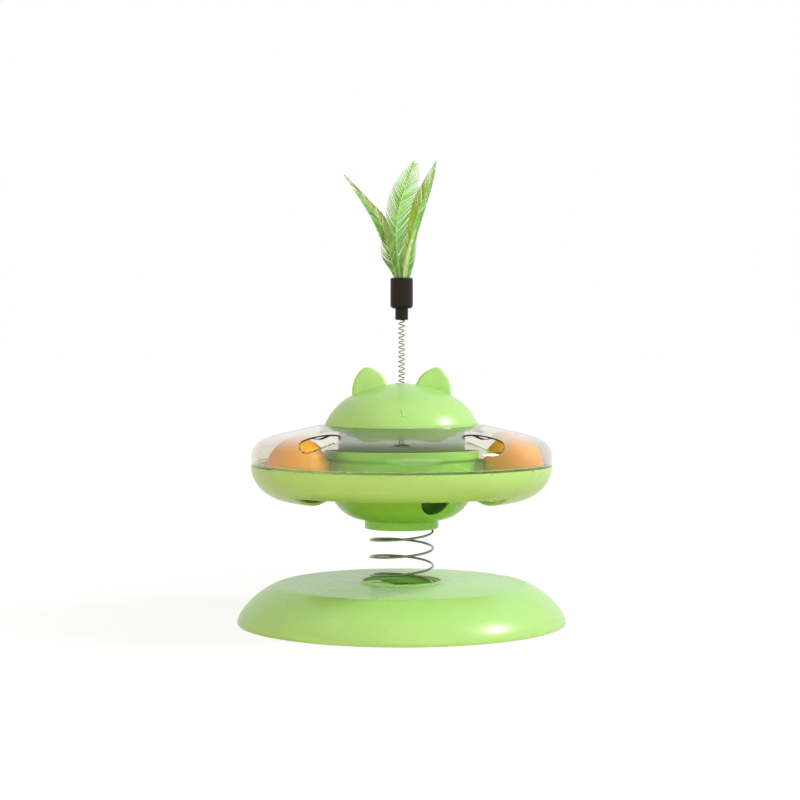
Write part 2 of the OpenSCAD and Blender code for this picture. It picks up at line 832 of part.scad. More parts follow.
module lid_dome() {
    color(shell_green)
        difference() {
            union() {
                difference() {
                    translate([0, 0, dome_mid_z])
                        sphere(r = dome_r);
                    translate([0, 0, dome_mid_z])
                        sphere(r = dome_r - lid_wall);
                    translate([0, 0, lip_top_z - 2 * dome_r])
                        cylinder(r = 2 * dome_r, h = 2 * dome_r);
                }
                ring(lid_r - lid_lip_w, lid_r, lid_z, lid_lip_h + 0.2);
                for (side = [-1, 1])
                    ear(side);
            }
            translate([0, 0, dome_top_z - 3 * lid_wall])
                cylinder(r = bush_r + fit_gap, h = 6 * lid_wall);
        }
}

module lid_plug() {
    flange_r = lid_r - lid_lip_w - fit_gap;
    flange_z = seat_z + run_gap;
    color(deep_green)
        union() {
            ring(plug_r - plug_wall, plug_r, lid_z - plug_h, plug_h + lid_lip_h / 2);
            ring(plug_r - plug_wall, flange_r, flange_z, lip_top_z - flange_z);
            for (i = [0:plug_lug_count - 1])
                ring_arc(plug_r - plug_wall / 2, ledge_in_r - run_gap, seat_z - ledge_t,
                    ledge_t + lid_lip_h / 2, 90 + 360 * i / plug_lug_count, plug_lug_arc);
        }
}

module teaser_bush() {
    color(shell_green)
        rotate_extrude()
            polygon([
                [0, wand_z - bush_end_t],
                [bush_r, wand_z - bush_end_t],
                [bush_r, dome_top_z],
                [bush_r + bush_flange_w, dome_top_z],
                [bush_r + bush_flange_w, bush_top_z - bush_flange_t / 2],
                [bush_r + bush_flange_w / 2, bush_top_z],
                [wand_seat_r, bush_top_z],
                [wand_seat_r, wand_z],
                [0, wand_z]
            ]);
}

wand_path = coil_path((wand_od - wand_wire) / 2, wand_wire, wand_z, wand_len, wand_turns,
    wand_len / (wand_turns + 1), 0);

module teaser_spring() {
    color(steel)
        coil(wand_path, wand_wire);
}

module spring_ferrule() {
    top_z = quill_socket_z + ferrule_spigot_len;
    edge = quill_socket_round / 2;
    color("#2b2723")
        rotate_extrude()
            polygon([
                [wand_seat_r, ferrule_z],
                [ferrule_r - edge, ferrule_z],
                [ferrule_r, ferrule_z + edge],
                [ferrule_r, top_z],
                [0, top_z],
                [0, wand_z + wand_len],
                [wand_seat_r, wand_z + wand_len]
            ]);
}

// Quarter of a round from one edge of the feather socket to the next
function rounded_edge(r, z, from_a) = [
    for (i = [0:4])
        let (a = from_a + 90 * i / 4)
        [r + quill_socket_round * cos(a), z + quill_socket_round * sin(a)]
];

module feather_socket() {
    round_r = quill_socket_r - quill_socket_round;
    spigot_top_z = quill_socket_z + ferrule_spigot_len;
    color("#2b2723")
        rotate_extrude()
            polygon(concat(
                [[ferrule_r + fit_gap, quill_socket_z]],
                rounded_edge(round_r, quill_socket_z + quill_socket_round, -90),
                rounded_edge(round_r, quill_socket_top_z - quill_socket_round, 0),
                [
                    [quill_mouth_r, quill_socket_top_z],
                    [quill_mouth_r, quill_z],
                    [0, quill_z],
                    [0, spigot_top_z],
                    [ferrule_r + fit_gap, spigot_top_z]
                ]
            ));
}

// A feather: a shaft that leaves the socket upright and then leans over, with a vane on both sides.
// foot is the shaft's place in the socket, lean its fall from upright, lean_az the heading of that
// fall, face_az the heading across the vane, and bare the share of the shaft below the vane.
feather_steps = 14;

function feather_spine(foot, length, lean, lean_az, t) = [
    foot[0] + length * sin(lean) * cos(lean_az) * pow(t, 1.5),
    foot[1] + length * sin(lean) * sin(lean_az) * pow(t, 1.5),
    quill_z + fit_gap + length * cos(lean) * t
];

function vane_w(width, bare, t) =
    let (s = max(0, (t - bare) / (1 - bare)))
    vane_t + (width - vane_t) * sin(180 * pow(s, 1.1)) * (1 - 0.2 * s);

function feather_ring(foot, length, lean, lean_az, width, face_az, bare, t) =
    let (
        step = 0.01,
        here = feather_spine(foot, length, lean, lean_az, t),
        run = unit(feather_spine(foot, length, lean, lean_az, t + step) - here),
        side = [cos(face_az), sin(face_az), 0],
        across = unit(side - (side * run) * run),
        face = cross(run, across),
        w = vane_w(width, bare, t) / 2
    )
    [here + w * across, here + vane_t / 2 * face, here - w * across, here - vane_t / 2 * face];

module feather(foot, length, lean, lean_az, width, face_az, bare) {
    points = [for (i = [0:feather_steps])
        each feather_ring(foot, length, lean, lean_az, width, face_az, bare, i / feather_steps)];
    polyhedron(points = points, faces = tube_faces(feather_steps + 1, 4));
}

module feather_left() {
    color("#7dbb3c")
        feather([-2.4, 0.4], left_feather_len, 25.3, 181, left_feather_w, 126, 0.12);
}

module feather_middle() {
    color("#9fe07f")
        feather([0, 2.2], mid_feather_len, 8, 50, mid_feather_w, 2, 0.12);
}

module feather_right() {
    color("#86c94a")
        feather([2.4, 0.4], right_feather_len, 15.4, -28, right_feather_w, 53, 0.12);
}

module feather_tuft_left() {
    color("#8fd463")
        feather([-1.3, -2.4], left_tuft_len, 21, 222, left_tuft_w, 160, 0.18);
}

module feather_tuft_right() {
    color("#9fe07f")
        feather([1.3, -2.4], right_tuft_len, 17, -50, right_tuft_w, 10, 0.18);
}

echo(main_spring_gap = least_gap(main_path, spring_wire));
echo(teaser_spring_gap = least_gap(wand_path, wand_wire));

base_shell();
base_floor();
base_ballast();
base_feet();
base_screws();
spring_socket();
main_spring();
spring_cap();
cap_screws();
treat_bowl();
bin_screws();
treat_bin();
ball_tray();
track_cover();
ball_left();
ball_right();
lid_dome();
lid_plug();
teaser_bush();
teaser_spring();
spring_ferrule();
feather_socket();
feather_left();
feather_middle();
feather_right();
feather_tuft_left();
feather_tuft_right();
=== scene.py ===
# %% [markdown]
# # A cat treat dispenser on a spring
#
# The toy has a weighted base, a coil spring, a head with a covered ball track, and an eared lid with
# a feather teaser. The CAD model holds every size, and this lesson dresses it: each piece is made
# again with softer edges and finer curves, and gets a finish built from shader nodes. Lengths are
# written in millimetres, as on the drawing, and turned into metres when a mesh is made.

# %% Load the frame
import math
import random

import bmesh
import bpy
from mathutils import Matrix, Vector


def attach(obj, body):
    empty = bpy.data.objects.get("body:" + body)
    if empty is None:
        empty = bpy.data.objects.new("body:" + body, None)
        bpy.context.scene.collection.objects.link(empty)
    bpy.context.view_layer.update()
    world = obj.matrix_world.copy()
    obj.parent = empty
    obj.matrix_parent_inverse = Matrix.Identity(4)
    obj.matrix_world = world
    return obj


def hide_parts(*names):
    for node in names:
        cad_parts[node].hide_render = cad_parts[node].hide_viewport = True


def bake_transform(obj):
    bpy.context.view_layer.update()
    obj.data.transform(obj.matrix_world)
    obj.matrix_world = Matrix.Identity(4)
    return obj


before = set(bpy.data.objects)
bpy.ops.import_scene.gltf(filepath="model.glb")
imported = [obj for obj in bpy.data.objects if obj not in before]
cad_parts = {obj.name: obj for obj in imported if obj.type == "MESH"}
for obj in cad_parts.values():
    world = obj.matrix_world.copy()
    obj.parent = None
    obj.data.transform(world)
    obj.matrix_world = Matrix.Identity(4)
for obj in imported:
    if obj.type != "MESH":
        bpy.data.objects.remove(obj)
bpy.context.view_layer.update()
MM = 0.001
TURN = 2 * math.pi

# %% [markdown]
# ## The camera
#
# The photo looks at the toy from a little above the middle, from well over a metre away. A camera
# could be moved by hand until it fits; here its height and distance come from how round the base and
# the lid's lip look, which leaves only the lens to be fitted to the toy's width.

# %% Camera
camera = bpy.data.cameras.new("camera")
camera.lens = 88.83
camera.sensor_width = 36
camera_object = bpy.data.objects.new("camera", camera)
bpy.context.collection.objects.link(camera_object)
camera_place = Vector((-0.001, -1.2, 0.1773))
camera_target = Vector((-0.001, 0, 0.1353))
camera_object.location = camera_place
camera_object.rotation_euler = (camera_target - camera_place).to_track_quat("-Z", "Y").to_euler()
bpy.context.scene.camera = camera_object
print("camera at", [round(c, 4) for c in camera_place])

# %% [markdown]
# ## Shader sums
#
# A finish is a small graph of nodes. Wiring it line by line is long and hard to read, so a socket is
# wrapped in a class that can be added and multiplied, and each operator adds a Math node. Every other
# node comes from one method, which sets the node's own settings first and its sockets after.


# %% Wrapped sockets and finishes
class Wire:
    """A shader socket that takes part in sums as a number would."""

    def __init__(self, finish, socket):
        self.finish = finish
        self.socket = socket

    def sum(self, operation, a, b):
        return self.finish.node("ShaderNodeMath", {"operation": operation}, {0: a, 1: b})

    def __add__(self, other):
        return self.sum("ADD", self, other)

    def __radd__(self, other):
        return self.sum("ADD", other, self)

    def __sub__(self, other):
        return self.sum("SUBTRACT", self, other)

    def __rsub__(self, other):
        return self.sum("SUBTRACT", other, self)

    def __mul__(self, other):
        return self.sum("MULTIPLY", self, other)

    def __rmul__(self, other):
        return self.sum("MULTIPLY", other, self)

    def __or__(self, other):
        return self.sum("MAXIMUM", self, other)


class Finish:
    """One graph of nodes: a material or a world. The record's slot that it dresses is stored but not used."""

    def __init__(self, name, slot=None, owner=None):
        self.slot = slot
        self.material = owner or bpy.data.materials.new(name)
        self.material.use_nodes = True
        self.tree = self.material.node_tree
        self.tree.nodes.clear()

    def node(self, kind, settings=None, sockets=None, out=0):
        made = self.tree.nodes.new(kind)
        for key, value in (settings or {}).items():
            setattr(made, key, value)
        for key, value in (sockets or {}).items():
            if isinstance(value, Wire):
                self.tree.links.new(value.socket, made.inputs[key])
            else:
                made.inputs[key].default_value = value
        return Wire(self, made.outputs[out]) if len(made.outputs) else None

    def noise(self, scale, detail=2.0):
        place = self.node("ShaderNodeTexCoord", out="Object")
        return self.node("ShaderNodeTexNoise", {}, {"Vector": place, "Scale": scale, "Detail": detail})

    def mix(self, share, a, b):
        return self.node("ShaderNodeMix", {"data_type": "RGBA"}, {"Factor": share, 6: a, 7: b}, out=2)

    def either(self, share, a, b):
        return self.node("ShaderNodeMixShader", {}, {0: share, 1: a, 2: b})

    def bump(self, height, strength, distance):
        sockets = {"Height": height, "Strength": strength, "Distance": distance}
        return self.node("ShaderNodeBump", {}, sockets)

    def ray(self, kind):
        return self.node("ShaderNodeLightPath", out=kind)

    def seen_plainly(self):
        """1 where the camera, a reflection or clear plastic shows the surface, and 0 for its own light."""
        shown = self.ray("Is Camera Ray") | self.ray("Is Glossy Ray") | self.ray("Is Transmission Ray")
        first = {0: self.ray("Diffuse Depth"), 1: 0.5}
        return shown * self.node("ShaderNodeMath", {"operation": "LESS_THAN"}, first)

    def principled(self, **sockets):
        named = {key.replace("_", " "): value for key, value in sockets.items()}
        return self.node("ShaderNodeBsdfPrincipled", {}, named)

    def surface(self, shader, output="ShaderNodeOutputMaterial"):
        self.node(output, {}, {"Surface": shader})
        return self


def shade(colour, factor):
    """A colour made darker or lighter, with its alpha."""
    return tuple(min(1.0, c * factor) for c in colour[:3]) + (1.0,)


# %% [markdown]
# ## Moulded plastic
#
# The shell pieces are satin plastic straight from the mould: one colour with faint clouds in it, a
# sheen that is not quite even, and a very fine skin that breaks up the highlights. A picture of
# plastic could be painted for this, but noise in object space has no seams and fits every piece.


# %% Plastic finishes
def moulded_plastic(name, slot, colour, roughness=0.28, skin=0.05, gloss=0.45):
    finish = Finish(name, slot)
    cloud = finish.noise(24.0, 3.0)
    grain = finish.noise(1500.0)
    tint = finish.mix(cloud, shade(colour, 0.94), shade(colour, 1.06))
    uneven = roughness - 0.08 + 0.1 * cloud + 0.06 * grain
    relief = finish.bump(grain, skin, 0.0002)
    return finish.surface(
        finish.principled(Base_Color=tint, Roughness=uneven, Normal=relief, Specular_IOR_Level=gloss)
    )


light_green = moulded_plastic("light_green", "green_plastic", (0.42, 0.74, 0.22, 1))
leaf_green = moulded_plastic("leaf_green", "deep_green_plastic", (0.3, 0.69, 0.1, 1))
# Very dark green for the lid's ring: painted shade of the closed bin's inside.
painted_shade_green = moulded_plastic("painted_shade_green", "deep_green_plastic", (0.08, 0.22, 0.03, 1), 0.4)
ball_orange = moulded_plastic("ball_orange", "orange_plastic", (0.84, 0.4, 0.035, 1), 0.42, 0.05, 0.3)
brown_black = moulded_plastic("brown_black", "black_plastic", (0.013, 0.011, 0.009, 1), 0.42, 0.1, 0.18)
foot_rubber = moulded_plastic("foot_rubber", "rubber", (0.05, 0.05, 0.045, 1), 0.75, 0.4)
print("plastic finishes:", light_green.material.name, leaf_green.material.name)

# %% [markdown]
# ## Clear plastic
#
# The cover is a thin clear moulding with a faint warm tint. A see-through wall with a drawn haze is
# cheap, but the dark and bright lines that show its edges only come from real refraction, so the
# cover is glass with the plastic's index. Lamps can't see through glass, which would leave the track
# dark, and so shadow rays take a plain see-through wall instead.


# %% Clear finish
def clear_plastic(name, slot, tint, through):
    finish = Finish(name, slot)
    smear = finish.noise(40.0, 3.0)
    wall = finish.principled(
        Base_Color=tint, Roughness=0.03 * smear, IOR=1.47, Transmission_Weight=1.0, Specular_IOR_Level=0.22
    )
    open_wall = finish.node("ShaderNodeBsdfTransparent", {}, {"Color": through})
    return finish.surface(finish.either(finish.ray("Is Shadow Ray"), wall, open_wall))


clear_cover = clear_plastic("clear_cover", "clear_plastic", (0.84, 0.79, 0.72, 1), (0.82, 0.8, 0.74, 1))
print("clear finish:", clear_cover.material.name)

# %% [markdown]
# ## Steel
#
# Spring wire is drawn bright and reflects its surroundings, but its colour here is a dark olive green,
# a painted reflection of the green parts around it; screws and the hidden ballast are duller.
# A mirror-like metal alone looks computer-made, so a fine noise varies how sharp the reflections are.


# %% Metal finishes
def steel(name, slot, colour, roughness):
    finish = Finish(name, slot)
    draw = finish.noise(900.0, 4.0)
    stain = finish.noise(120.0)
    tint = finish.mix(stain, shade(colour, 0.8), shade(colour, 1.15))
    worn = roughness + 0.16 * draw
    relief = finish.bump(draw, 0.08, 0.0001)
    return finish.surface(
        finish.principled(Base_Color=tint, Roughness=worn, Metallic=1.0, Normal=relief)
    )


# The wire's dark olive colour is a painted reflection of the green base and bowl.
spring_wire = steel("spring_wire", "spring_steel", (0.3, 0.32, 0.2, 1), 0.12)
plain_steel = steel("plain_steel", "steel", (0.55, 0.55, 0.54, 1), 0.32)
print("metal finishes:", spring_wire.material.name, plain_steel.material.name)

# %% [markdown]
# ## Mesh helpers
#
# Nearly every piece of this toy is turned: a closed outline of radius and height is spun about the
# upright axis. A cylinder with booleans could do the same, but an outline is easier to change. A
# moulded edge always catches a thin line of light, so corners are rounded, either in the outline
# itself or by a bevel on the finished mesh.


# %% Spin, bevel and cut
def eased(corners, steps=5):
    """An outline from corners of (radius, height, rounding): a rounded corner becomes a small curve."""
    outline = []
    for i, (r, z, ease) in enumerate(corners):
        here = Vector((r, z))
        if not ease:
            outline.append((r, z))
            continue
        before = (Vector(corners[i - 1][:2]) - here).normalized() * ease
        after = (Vector(corners[(i + 1) % len(corners)][:2]) - here).normalized() * ease
        for k in range(steps + 1):
            s = k / steps
            point = here + (1 - s) ** 2 * before + s * s * after
            outline.append((point.x, point.y))
    return outline


def outline_ring(bm, outline):
    """A closed ring of edges in the plane of the axis, from (radius, height) pairs in millimetres."""
    corners = [bm.verts.new((r * MM, 0, z * MM)) for r, z in outline]
    pairs = zip(corners, corners[1:] + corners[:1])
    edges = [bm.edges.new(pair) for pair in pairs if any(v.co.x > 1e-9 for v in pair)]
    return corners, edges


def turned(outline, steps=144):
    """A closed outline spun all the way round."""
    bm = bmesh.new()
    corners, edges = outline_ring(bm, outline)
    bmesh.ops.spin(
        bm, geom=corners + edges, cent=(0, 0, 0), axis=(0, 0, 1), angle=TURN, steps=steps, use_merge=True
    )
    bmesh.ops.remove_doubles(bm, verts=bm.verts, dist=1e-6)
    bmesh.ops.recalc_face_normals(bm, faces=bm.faces)
    return bm


def swept(outline, middle, arc, steps=48):
    """A closed outline spun through part of a turn, with flat ends; angles in degrees."""
    bm = bmesh.new()
    corners, edges = outline_ring(bm, outline)
    face = bm.faces.new(corners)
    bmesh.ops.rotate(
        bm, verts=corners, cent=(0, 0, 0), matrix=Matrix.Rotation(math.radians(middle - arc / 2), 3, "Z")
    )
    bmesh.ops.spin(
        bm, geom=corners + edges + [face], cent=(0, 0, 0), axis=(0, 0, 1), angle=math.radians(arc), steps=steps
    )
    bmesh.ops.recalc_face_normals(bm, faces=bm.faces)
    return bm


def soften(bm, width, sharp=35, segments=3):
    """Bevel every edge that is sharper than the given angle, by a width in millimetres."""
    edges = [e for e in bm.edges if e.is_manifold and e.calc_face_angle(0) > math.radians(sharp)]
    bmesh.ops.bevel(
        bm, geom=edges, offset=width * MM, offset_type="OFFSET", affect="EDGES", segments=segments,
        profile=0.5, material=-1, clamp_overlap=True,
    )
    return bm


def add(bm, other):
    """Put another bmesh's faces into this one."""
    mesh = bpy.data.meshes.new("part")
    other.to_mesh(mesh)
    other.free()
    bm.from_mesh(mesh)
    bpy.data.meshes.remove(mesh)
    return bm


def cut(bm, other, operation="DIFFERENCE"):
    """A boolean between two bmeshes, done by Blender's exact solver."""
    made = []
    for name, source in (("body", bm), ("tool", other)):
        mesh = bpy.data.meshes.new(name)
        source.to_mesh(mesh)
        source.free()
        made.append(bpy.data.objects.new(name, mesh))
        bpy.context.collection.objects.link(made[-1])
    modifier = made[0].modifiers.new("cut", "BOOLEAN")
    modifier.operation = operation
    modifier.solver = "EXACT"
    modifier.object = made[1]
    result = bpy.data.meshes.new_from_object(made[0].evaluated_get(bpy.context.evaluated_depsgraph_get()))
    out = bmesh.new()
    out.from_mesh(result)
    for ob in made:
        bpy.data.meshes.remove(ob.data)
    bpy.data.meshes.remove(result)
    return out


def piece(name, bm, finish, body=None, stands_for=(), crease=38):
    """Make an object of a bmesh, smooth but for its creases, and hang it on its body."""
    mesh = bpy.data.meshes.new(name)
    bm.to_mesh(mesh)
    bm.free()
    mesh.shade_smooth()
    mesh.set_sharp_from_angle(angle=math.radians(crease))
    mesh.materials.append(finish.material)
    made = bpy.data.objects.new(name, mesh)
    bpy.context.collection.objects.link(made)
    if body:
        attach(made, body)
    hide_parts(*stands_for)
    print(name, "has", len(mesh.polygons), "faces")
    return made


# %% [markdown]
# ## The base
#
# The base is a heavy foot: a soft shoulder runs up to a plateau that rises a little towards the well
# in the middle, and a low rim stands round the well. A sphere squashed flat would come near, but the
# shoulder is flatter than an ellipse, so the outline follows a superellipse, and the inner wall
# repeats it one wall thickness further in.

# %% Base shell
BASE_R = 100
BASE_EDGE = 1.5
SHOULDER_R = 74.5
SHOULDER_H = 22.0
SHOULDER_POWER = 1.42
BASE_WALL = 2.2
WELL_R = 23.5
WELL_TOP = 24.4
RIM_W = 1.6
RIM_H = 1.3
CURVE_STEPS = 32


def shoulder(mid_r, foot_z, half_w, height, power):
    """A quarter of a superellipse, from its outermost point up to its top."""
    points = []
    for i in range(CURVE_STEPS + 1):
        a = math.pi / 2 * i / CURVE_STEPS
        across = max(0.0, math.cos(a)) ** (2 / power)
        points.append((mid_r + half_w * across, foot_z + height * math.sin(a) ** (2 / power)))
    return points


def base_skin(inset):
    half_w = BASE_R - SHOULDER_R - inset
    return shoulder(SHOULDER_R, BASE_EDGE, half_w, SHOULDER_H - inset, SHOULDER_POWER)


base_outline = eased([(BASE_R - BASE_WALL, 0, 0), (BASE_R, 0, 0.5)] + [(r, z, 0) for r, z in base_skin(0)] + [
    (WELL_R + RIM_W, WELL_TOP, 0.5), (WELL_R + RIM_W, WELL_TOP + RIM_H, 0.6), (WELL_R, WELL_TOP + RIM_H, 0.6),
    (WELL_R, WELL_TOP - 5, 0), (WELL_R + BASE_WALL, WELL_TOP - 5, 0),
    (WELL_R + BASE_WALL, WELL_TOP - BASE_WALL, 0),
])
base_outline += base_skin(BASE_WALL)[::-1]
piece("base_dome", turned(base_outline, 192), light_green, "base", ["base_shell"])

# %% [markdown]
# ## The spring's socket
#
# A cup twists into the well and holds the foot of the spring under flat tabs. The tabs are short
# stretches of a ring, so their outline is spun through part of a turn instead of the whole.

# %% Spring socket
SOCKET_R = 23.25
SOCKET_FLOOR = 17.5
SOCKET_TOP = 24.4
SOCKET_WALL = 1.8
SOCKET_BASE = 2
SPIGOT_R = 16.45
SPIGOT_W = 3.6
SPIGOT_H = 2.4
TAB_R = 22.35
TAB_T = 1.4
socket = turned(eased([
    (0, SOCKET_FLOOR - SOCKET_BASE, 0), (SOCKET_R, SOCKET_FLOOR - SOCKET_BASE, 0.4),
    (SOCKET_R, SOCKET_TOP, 0.4), (SOCKET_R - SOCKET_WALL, SOCKET_TOP, 0.4),
    (SOCKET_R - SOCKET_WALL, SOCKET_FLOOR, 0.3), (SPIGOT_R, SOCKET_FLOOR, 0.3),
    (SPIGOT_R, SOCKET_FLOOR + SPIGOT_H, 0.5), (SPIGOT_R - SPIGOT_W, SOCKET_FLOOR + SPIGOT_H, 0.5),
    (SPIGOT_R - SPIGOT_W, SOCKET_FLOOR, 0.3), (0, SOCKET_FLOOR, 0),
], 3), 96)
# The cup is leaf green, deeper than the light green tabs: painted shade of the deep well.
piece("spring_cup", socket, leaf_green, "base", ["spring_socket"])
tabs = bmesh.new()
for heading, arc, inner_r in ((172, 34, 12.5), (222, 40, 10.5), (110, 30, 20.3)):
    tab_foot = SOCKET_TOP - TAB_T
    tab = [(inner_r, tab_foot), (TAB_R, tab_foot), (TAB_R, SOCKET_TOP), (inner_r, SOCKET_TOP)]
    add(tabs, soften(swept(tab, heading, arc, 16), 0.3))
piece("spring_tabs", tabs, light_green, "base", ["spring_socket"])

# %% [markdown]
# ## The springs
#
# A coil is a small circle that turns about an axis and climbs a little at each step, which is what
# the spin operator does when it is given an offset. The main spring is made in two halves, because
# its lower half bends as the head sways and its upper half is pressed as the head bobs.


# %% Coils
def coil(mid_r, wire_r, foot_z, heading, legs, sides=12, per_turn=56, lean=0.0):
    """A round wire that climbs through legs of (turns, pitch); its turns may lean to the front."""
    bm = bmesh.new()
    place = Matrix.Rotation(math.radians(heading), 4, "Z") @ Matrix.Translation((mid_r * MM, 0, foot_z * MM))
    ring = bmesh.ops.create_circle(
        bm, segments=sides, radius=wire_r * MM, matrix=place @ Matrix.Rotation(math.pi / 2, 4, "X")
    )["verts"]
    geom = ring + list({e for v in ring for e in v.link_edges})
    for turns, pitch in legs:
        steps = max(1, round(turns * per_turn))
        geom = bmesh.ops.spin(
            bm, geom=geom, cent=(0, 0, 0), axis=(0, 0, 1), angle=TURN * turns, steps=steps,
            dvec=(0, 0, pitch * turns * MM / steps),
        )["geom_last"]
    for v in bm.verts:
        v.co.z += lean * v.co.y
    bmesh.ops.holes_fill(bm, edges=[e for e in bm.edges if e.is_boundary])
    bmesh.ops.recalc_face_normals(bm, faces=bm.faces)
    return bm


SPRING_R = 19.1
SPRING_WIRE_R = 0.68
SPRING_LEAN = 0.035
SPRING_LIFT = 0.7
SPRING_FOOT = SOCKET_FLOOR + SPRING_WIRE_R + SPRING_LIFT
CLOSED_TOP = 21.9
SPRING_MID = 38.0
SPRING_TOP = 58.8
SPRING_HEADING = -36
LOWER_TURNS = 1.423
UPPER_TURNS = 2.014
lower_pitch = (SPRING_MID - CLOSED_TOP) / LOWER_TURNS
upper_pitch = (SPRING_TOP - SPRING_MID) / UPPER_TURNS
lower_coil = piece(
    "main_coil_lower",
    coil(SPRING_R, SPRING_WIRE_R, SPRING_FOOT, SPRING_HEADING,
         [(1, CLOSED_TOP - SPRING_FOOT), (LOWER_TURNS, lower_pitch)], lean=SPRING_LEAN),
    spring_wire, None, ["main_spring"],
)
upper_coil = piece(
    "main_coil_upper",
    coil(SPRING_R, SPRING_WIRE_R, SPRING_MID, SPRING_HEADING + 360 * LOWER_TURNS, [(UPPER_TURNS, upper_pitch)],
         lean=SPRING_LEAN),
    spring_wire, None, ["main_spring"],
)
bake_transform(lower_coil)
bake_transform(upper_coil)

# %% [markdown]
# ## The collar and the bowl
#
# The collar under the bowl takes the top of the spring. The bowl is half of a thick ring closed by a
# flat floor, and the treats fall out through a D-shaped mouth at its right front. The mouth is cut
# with a boolean, because a hole through a curved wall is hard to model face by face.

# %% Collar and bowl
CAP_R = 22.5
CAP_CEILING = 59.7
CAP_WALL = 1.8
CAP_DROP = 2.3
BOWL_Z = 62.7
BOWL_ROUND = 22
BOWL_WALL = 2
TRAY_Z = 79.3
TRAY_FLOOR = 81.1
BIN_Z = 82.6
OUTLET_R = 9.9
OUTLET_MID = 78.1
OUTLET_HEAD = 78.5
OUTLET_HEADING = -61

collar = turned(eased([
    (0, CAP_CEILING, 0), (SPIGOT_R - SPIGOT_W, CAP_CEILING, 0),
    (SPIGOT_R - SPIGOT_W, CAP_CEILING - SPIGOT_H, 0.4), (SPIGOT_R, CAP_CEILING - SPIGOT_H, 0.4),
    (SPIGOT_R, CAP_CEILING, 0), (CAP_R - CAP_WALL, CAP_CEILING, 0),
    (CAP_R - CAP_WALL, CAP_CEILING - CAP_DROP, 0.3), (CAP_R, CAP_CEILING - CAP_DROP, 0.6),
    (CAP_R, BOWL_Z, 0.6), (0, BOWL_Z, 0),
]), 96)
piece("spring_collar", collar, leaf_green, "head", ["spring_cap"])


def bowl_side(inset):
    top = math.acos(1 - (TRAY_FLOOR - BOWL_Z) / BOWL_ROUND)
    round_r = BOWL_ROUND - inset
    angles = [top * i / CURVE_STEPS for i in range(CURVE_STEPS + 1)]
    return [(BOWL_ROUND + round_r * math.sin(a), BOWL_Z + BOWL_ROUND - round_r * math.cos(a)) for a in angles]


outer_side = bowl_side(0)
inner_side = bowl_side(BOWL_WALL)
bowl_lip_r = outer_side[-1][0] + 2.5
bowl = turned(
    [(0, BOWL_Z)] + outer_side + [(bowl_lip_r, TRAY_FLOOR), (bowl_lip_r, BIN_Z), (inner_side[-1][0], BIN_Z)]
    + inner_side[::-1] + [(0, BOWL_Z + BOWL_WALL)]
)
mouth = bmesh.new()
rim = bmesh.ops.create_circle(mouth, segments=72, radius=OUTLET_R * MM)["verts"]
for v in rim:
    # The circle lies flat; stand it up facing +X and cut it off level at its head
    v.co = (BOWL_ROUND * MM, v.co.x, min(OUTLET_MID * MM + v.co.y, OUTLET_HEAD * MM))
mouth_face = mouth.faces.new(rim)
pushed = bmesh.ops.extrude_face_region(mouth, geom=[mouth_face])["geom"]
bmesh.ops.translate(mouth, verts=[g for g in pushed if isinstance(g, bmesh.types.BMVert)], vec=(0.05, 0, 0))
bmesh.ops.rotate(
    mouth, verts=mouth.verts, cent=(0, 0, 0), matrix=Matrix.Rotation(math.radians(OUTLET_HEADING), 3, "Z")
)
bmesh.ops.dissolve_degenerate(mouth, edges=mouth.edges, dist=1e-6)
bmesh.ops.recalc_face_normals(mouth, faces=mouth.faces)
piece("treat_cup", cut(bowl, mouth), leaf_green, "head", ["treat_bowl"], 32)

# %% [markdown]
# ## The treat bin
#
# A straight wall with a wider upright band as its rim stands inside the ball track and holds the
# treats. Its foot is screwed to the tray through four small bosses. It shows through the clear cover,
# so its rim is softly rounded.

# %% Treat bin
BIN_R = 45.05
BIN_TOP = 106.8
BIN_WALL = 1.8
BIN_STEP = 2.0
BAND_Z = 100.8
BIN_FOOT_W = 7.5
BIN_FOOT_T = 2
BOSS_RING_R = 49.55
BOSS_Z = 84.5
bin_wall = turned(eased([
    (BIN_R - BIN_WALL, BIN_Z, 0), (BIN_R + BIN_FOOT_W, BIN_Z, 0.4),
    (BIN_R + BIN_FOOT_W, BIN_Z + BIN_FOOT_T, 0.8), (BIN_R, BIN_Z + BIN_FOOT_T, 1.0),
    (BIN_R, BAND_Z - 1.8, 0.6), (BIN_R + BIN_STEP, BAND_Z, 0.5), (BIN_R + BIN_STEP, BIN_TOP, 0.6),
    (BIN_R + BIN_STEP - BIN_WALL, BIN_TOP, 0.6), (BIN_R + BIN_STEP - BIN_WALL, BAND_Z, 0.4),
    (BIN_R - BIN_WALL, BAND_Z - 1.8, 0.4),
]))
for heading in (66, 114, 246, 294):
    boss = bmesh.new()
    spot = Matrix.Rotation(math.radians(heading), 4, "Z")
    spot = spot @ Matrix.Translation((BOSS_RING_R * MM, 0, BOSS_Z * MM))
    bmesh.ops.create_cone(
        boss, cap_ends=True, segments=32, radius1=3.2 * MM, radius2=3.0 * MM, depth=6.8 * MM, matrix=spot
    )
    add(bin_wall, soften(boss, 0.4))
piece("treat_drum", bin_wall, leaf_green, "head", ["treat_bin"])

# %% [markdown]
# ## The ball tray
#
# The tray is the hardest piece: a shallow turned dish with two deep lobes in which the balls roll.
# The dish's flank swells gently where a lobe lies, and the lobe itself is a stretch of a ring, added
# below and hollowed out inside. Its ends stay open under the floor, which gives the lens-shaped slots
# at the front. Sculpting could give all of it in one go, but booleans keep the wall even.

# %% Ball tray
TRAY_R = 91.55
TRAY_FLAT_R = 78.95
TRAY_H = 16.6
TRAY_WALL = 1.8
SEAM_Z = TRAY_Z + TRAY_H
TRACK_R = 67.95
BALL_R = 18.5
BALL_Z = 95.3
LOBE_DROP = 4.6
LOBE_SLOPE_W = 21.4
LOBE_HALF_ARC = 41
POCKET_HALF_ARC = 37
GUTTER_WALL = 1.6


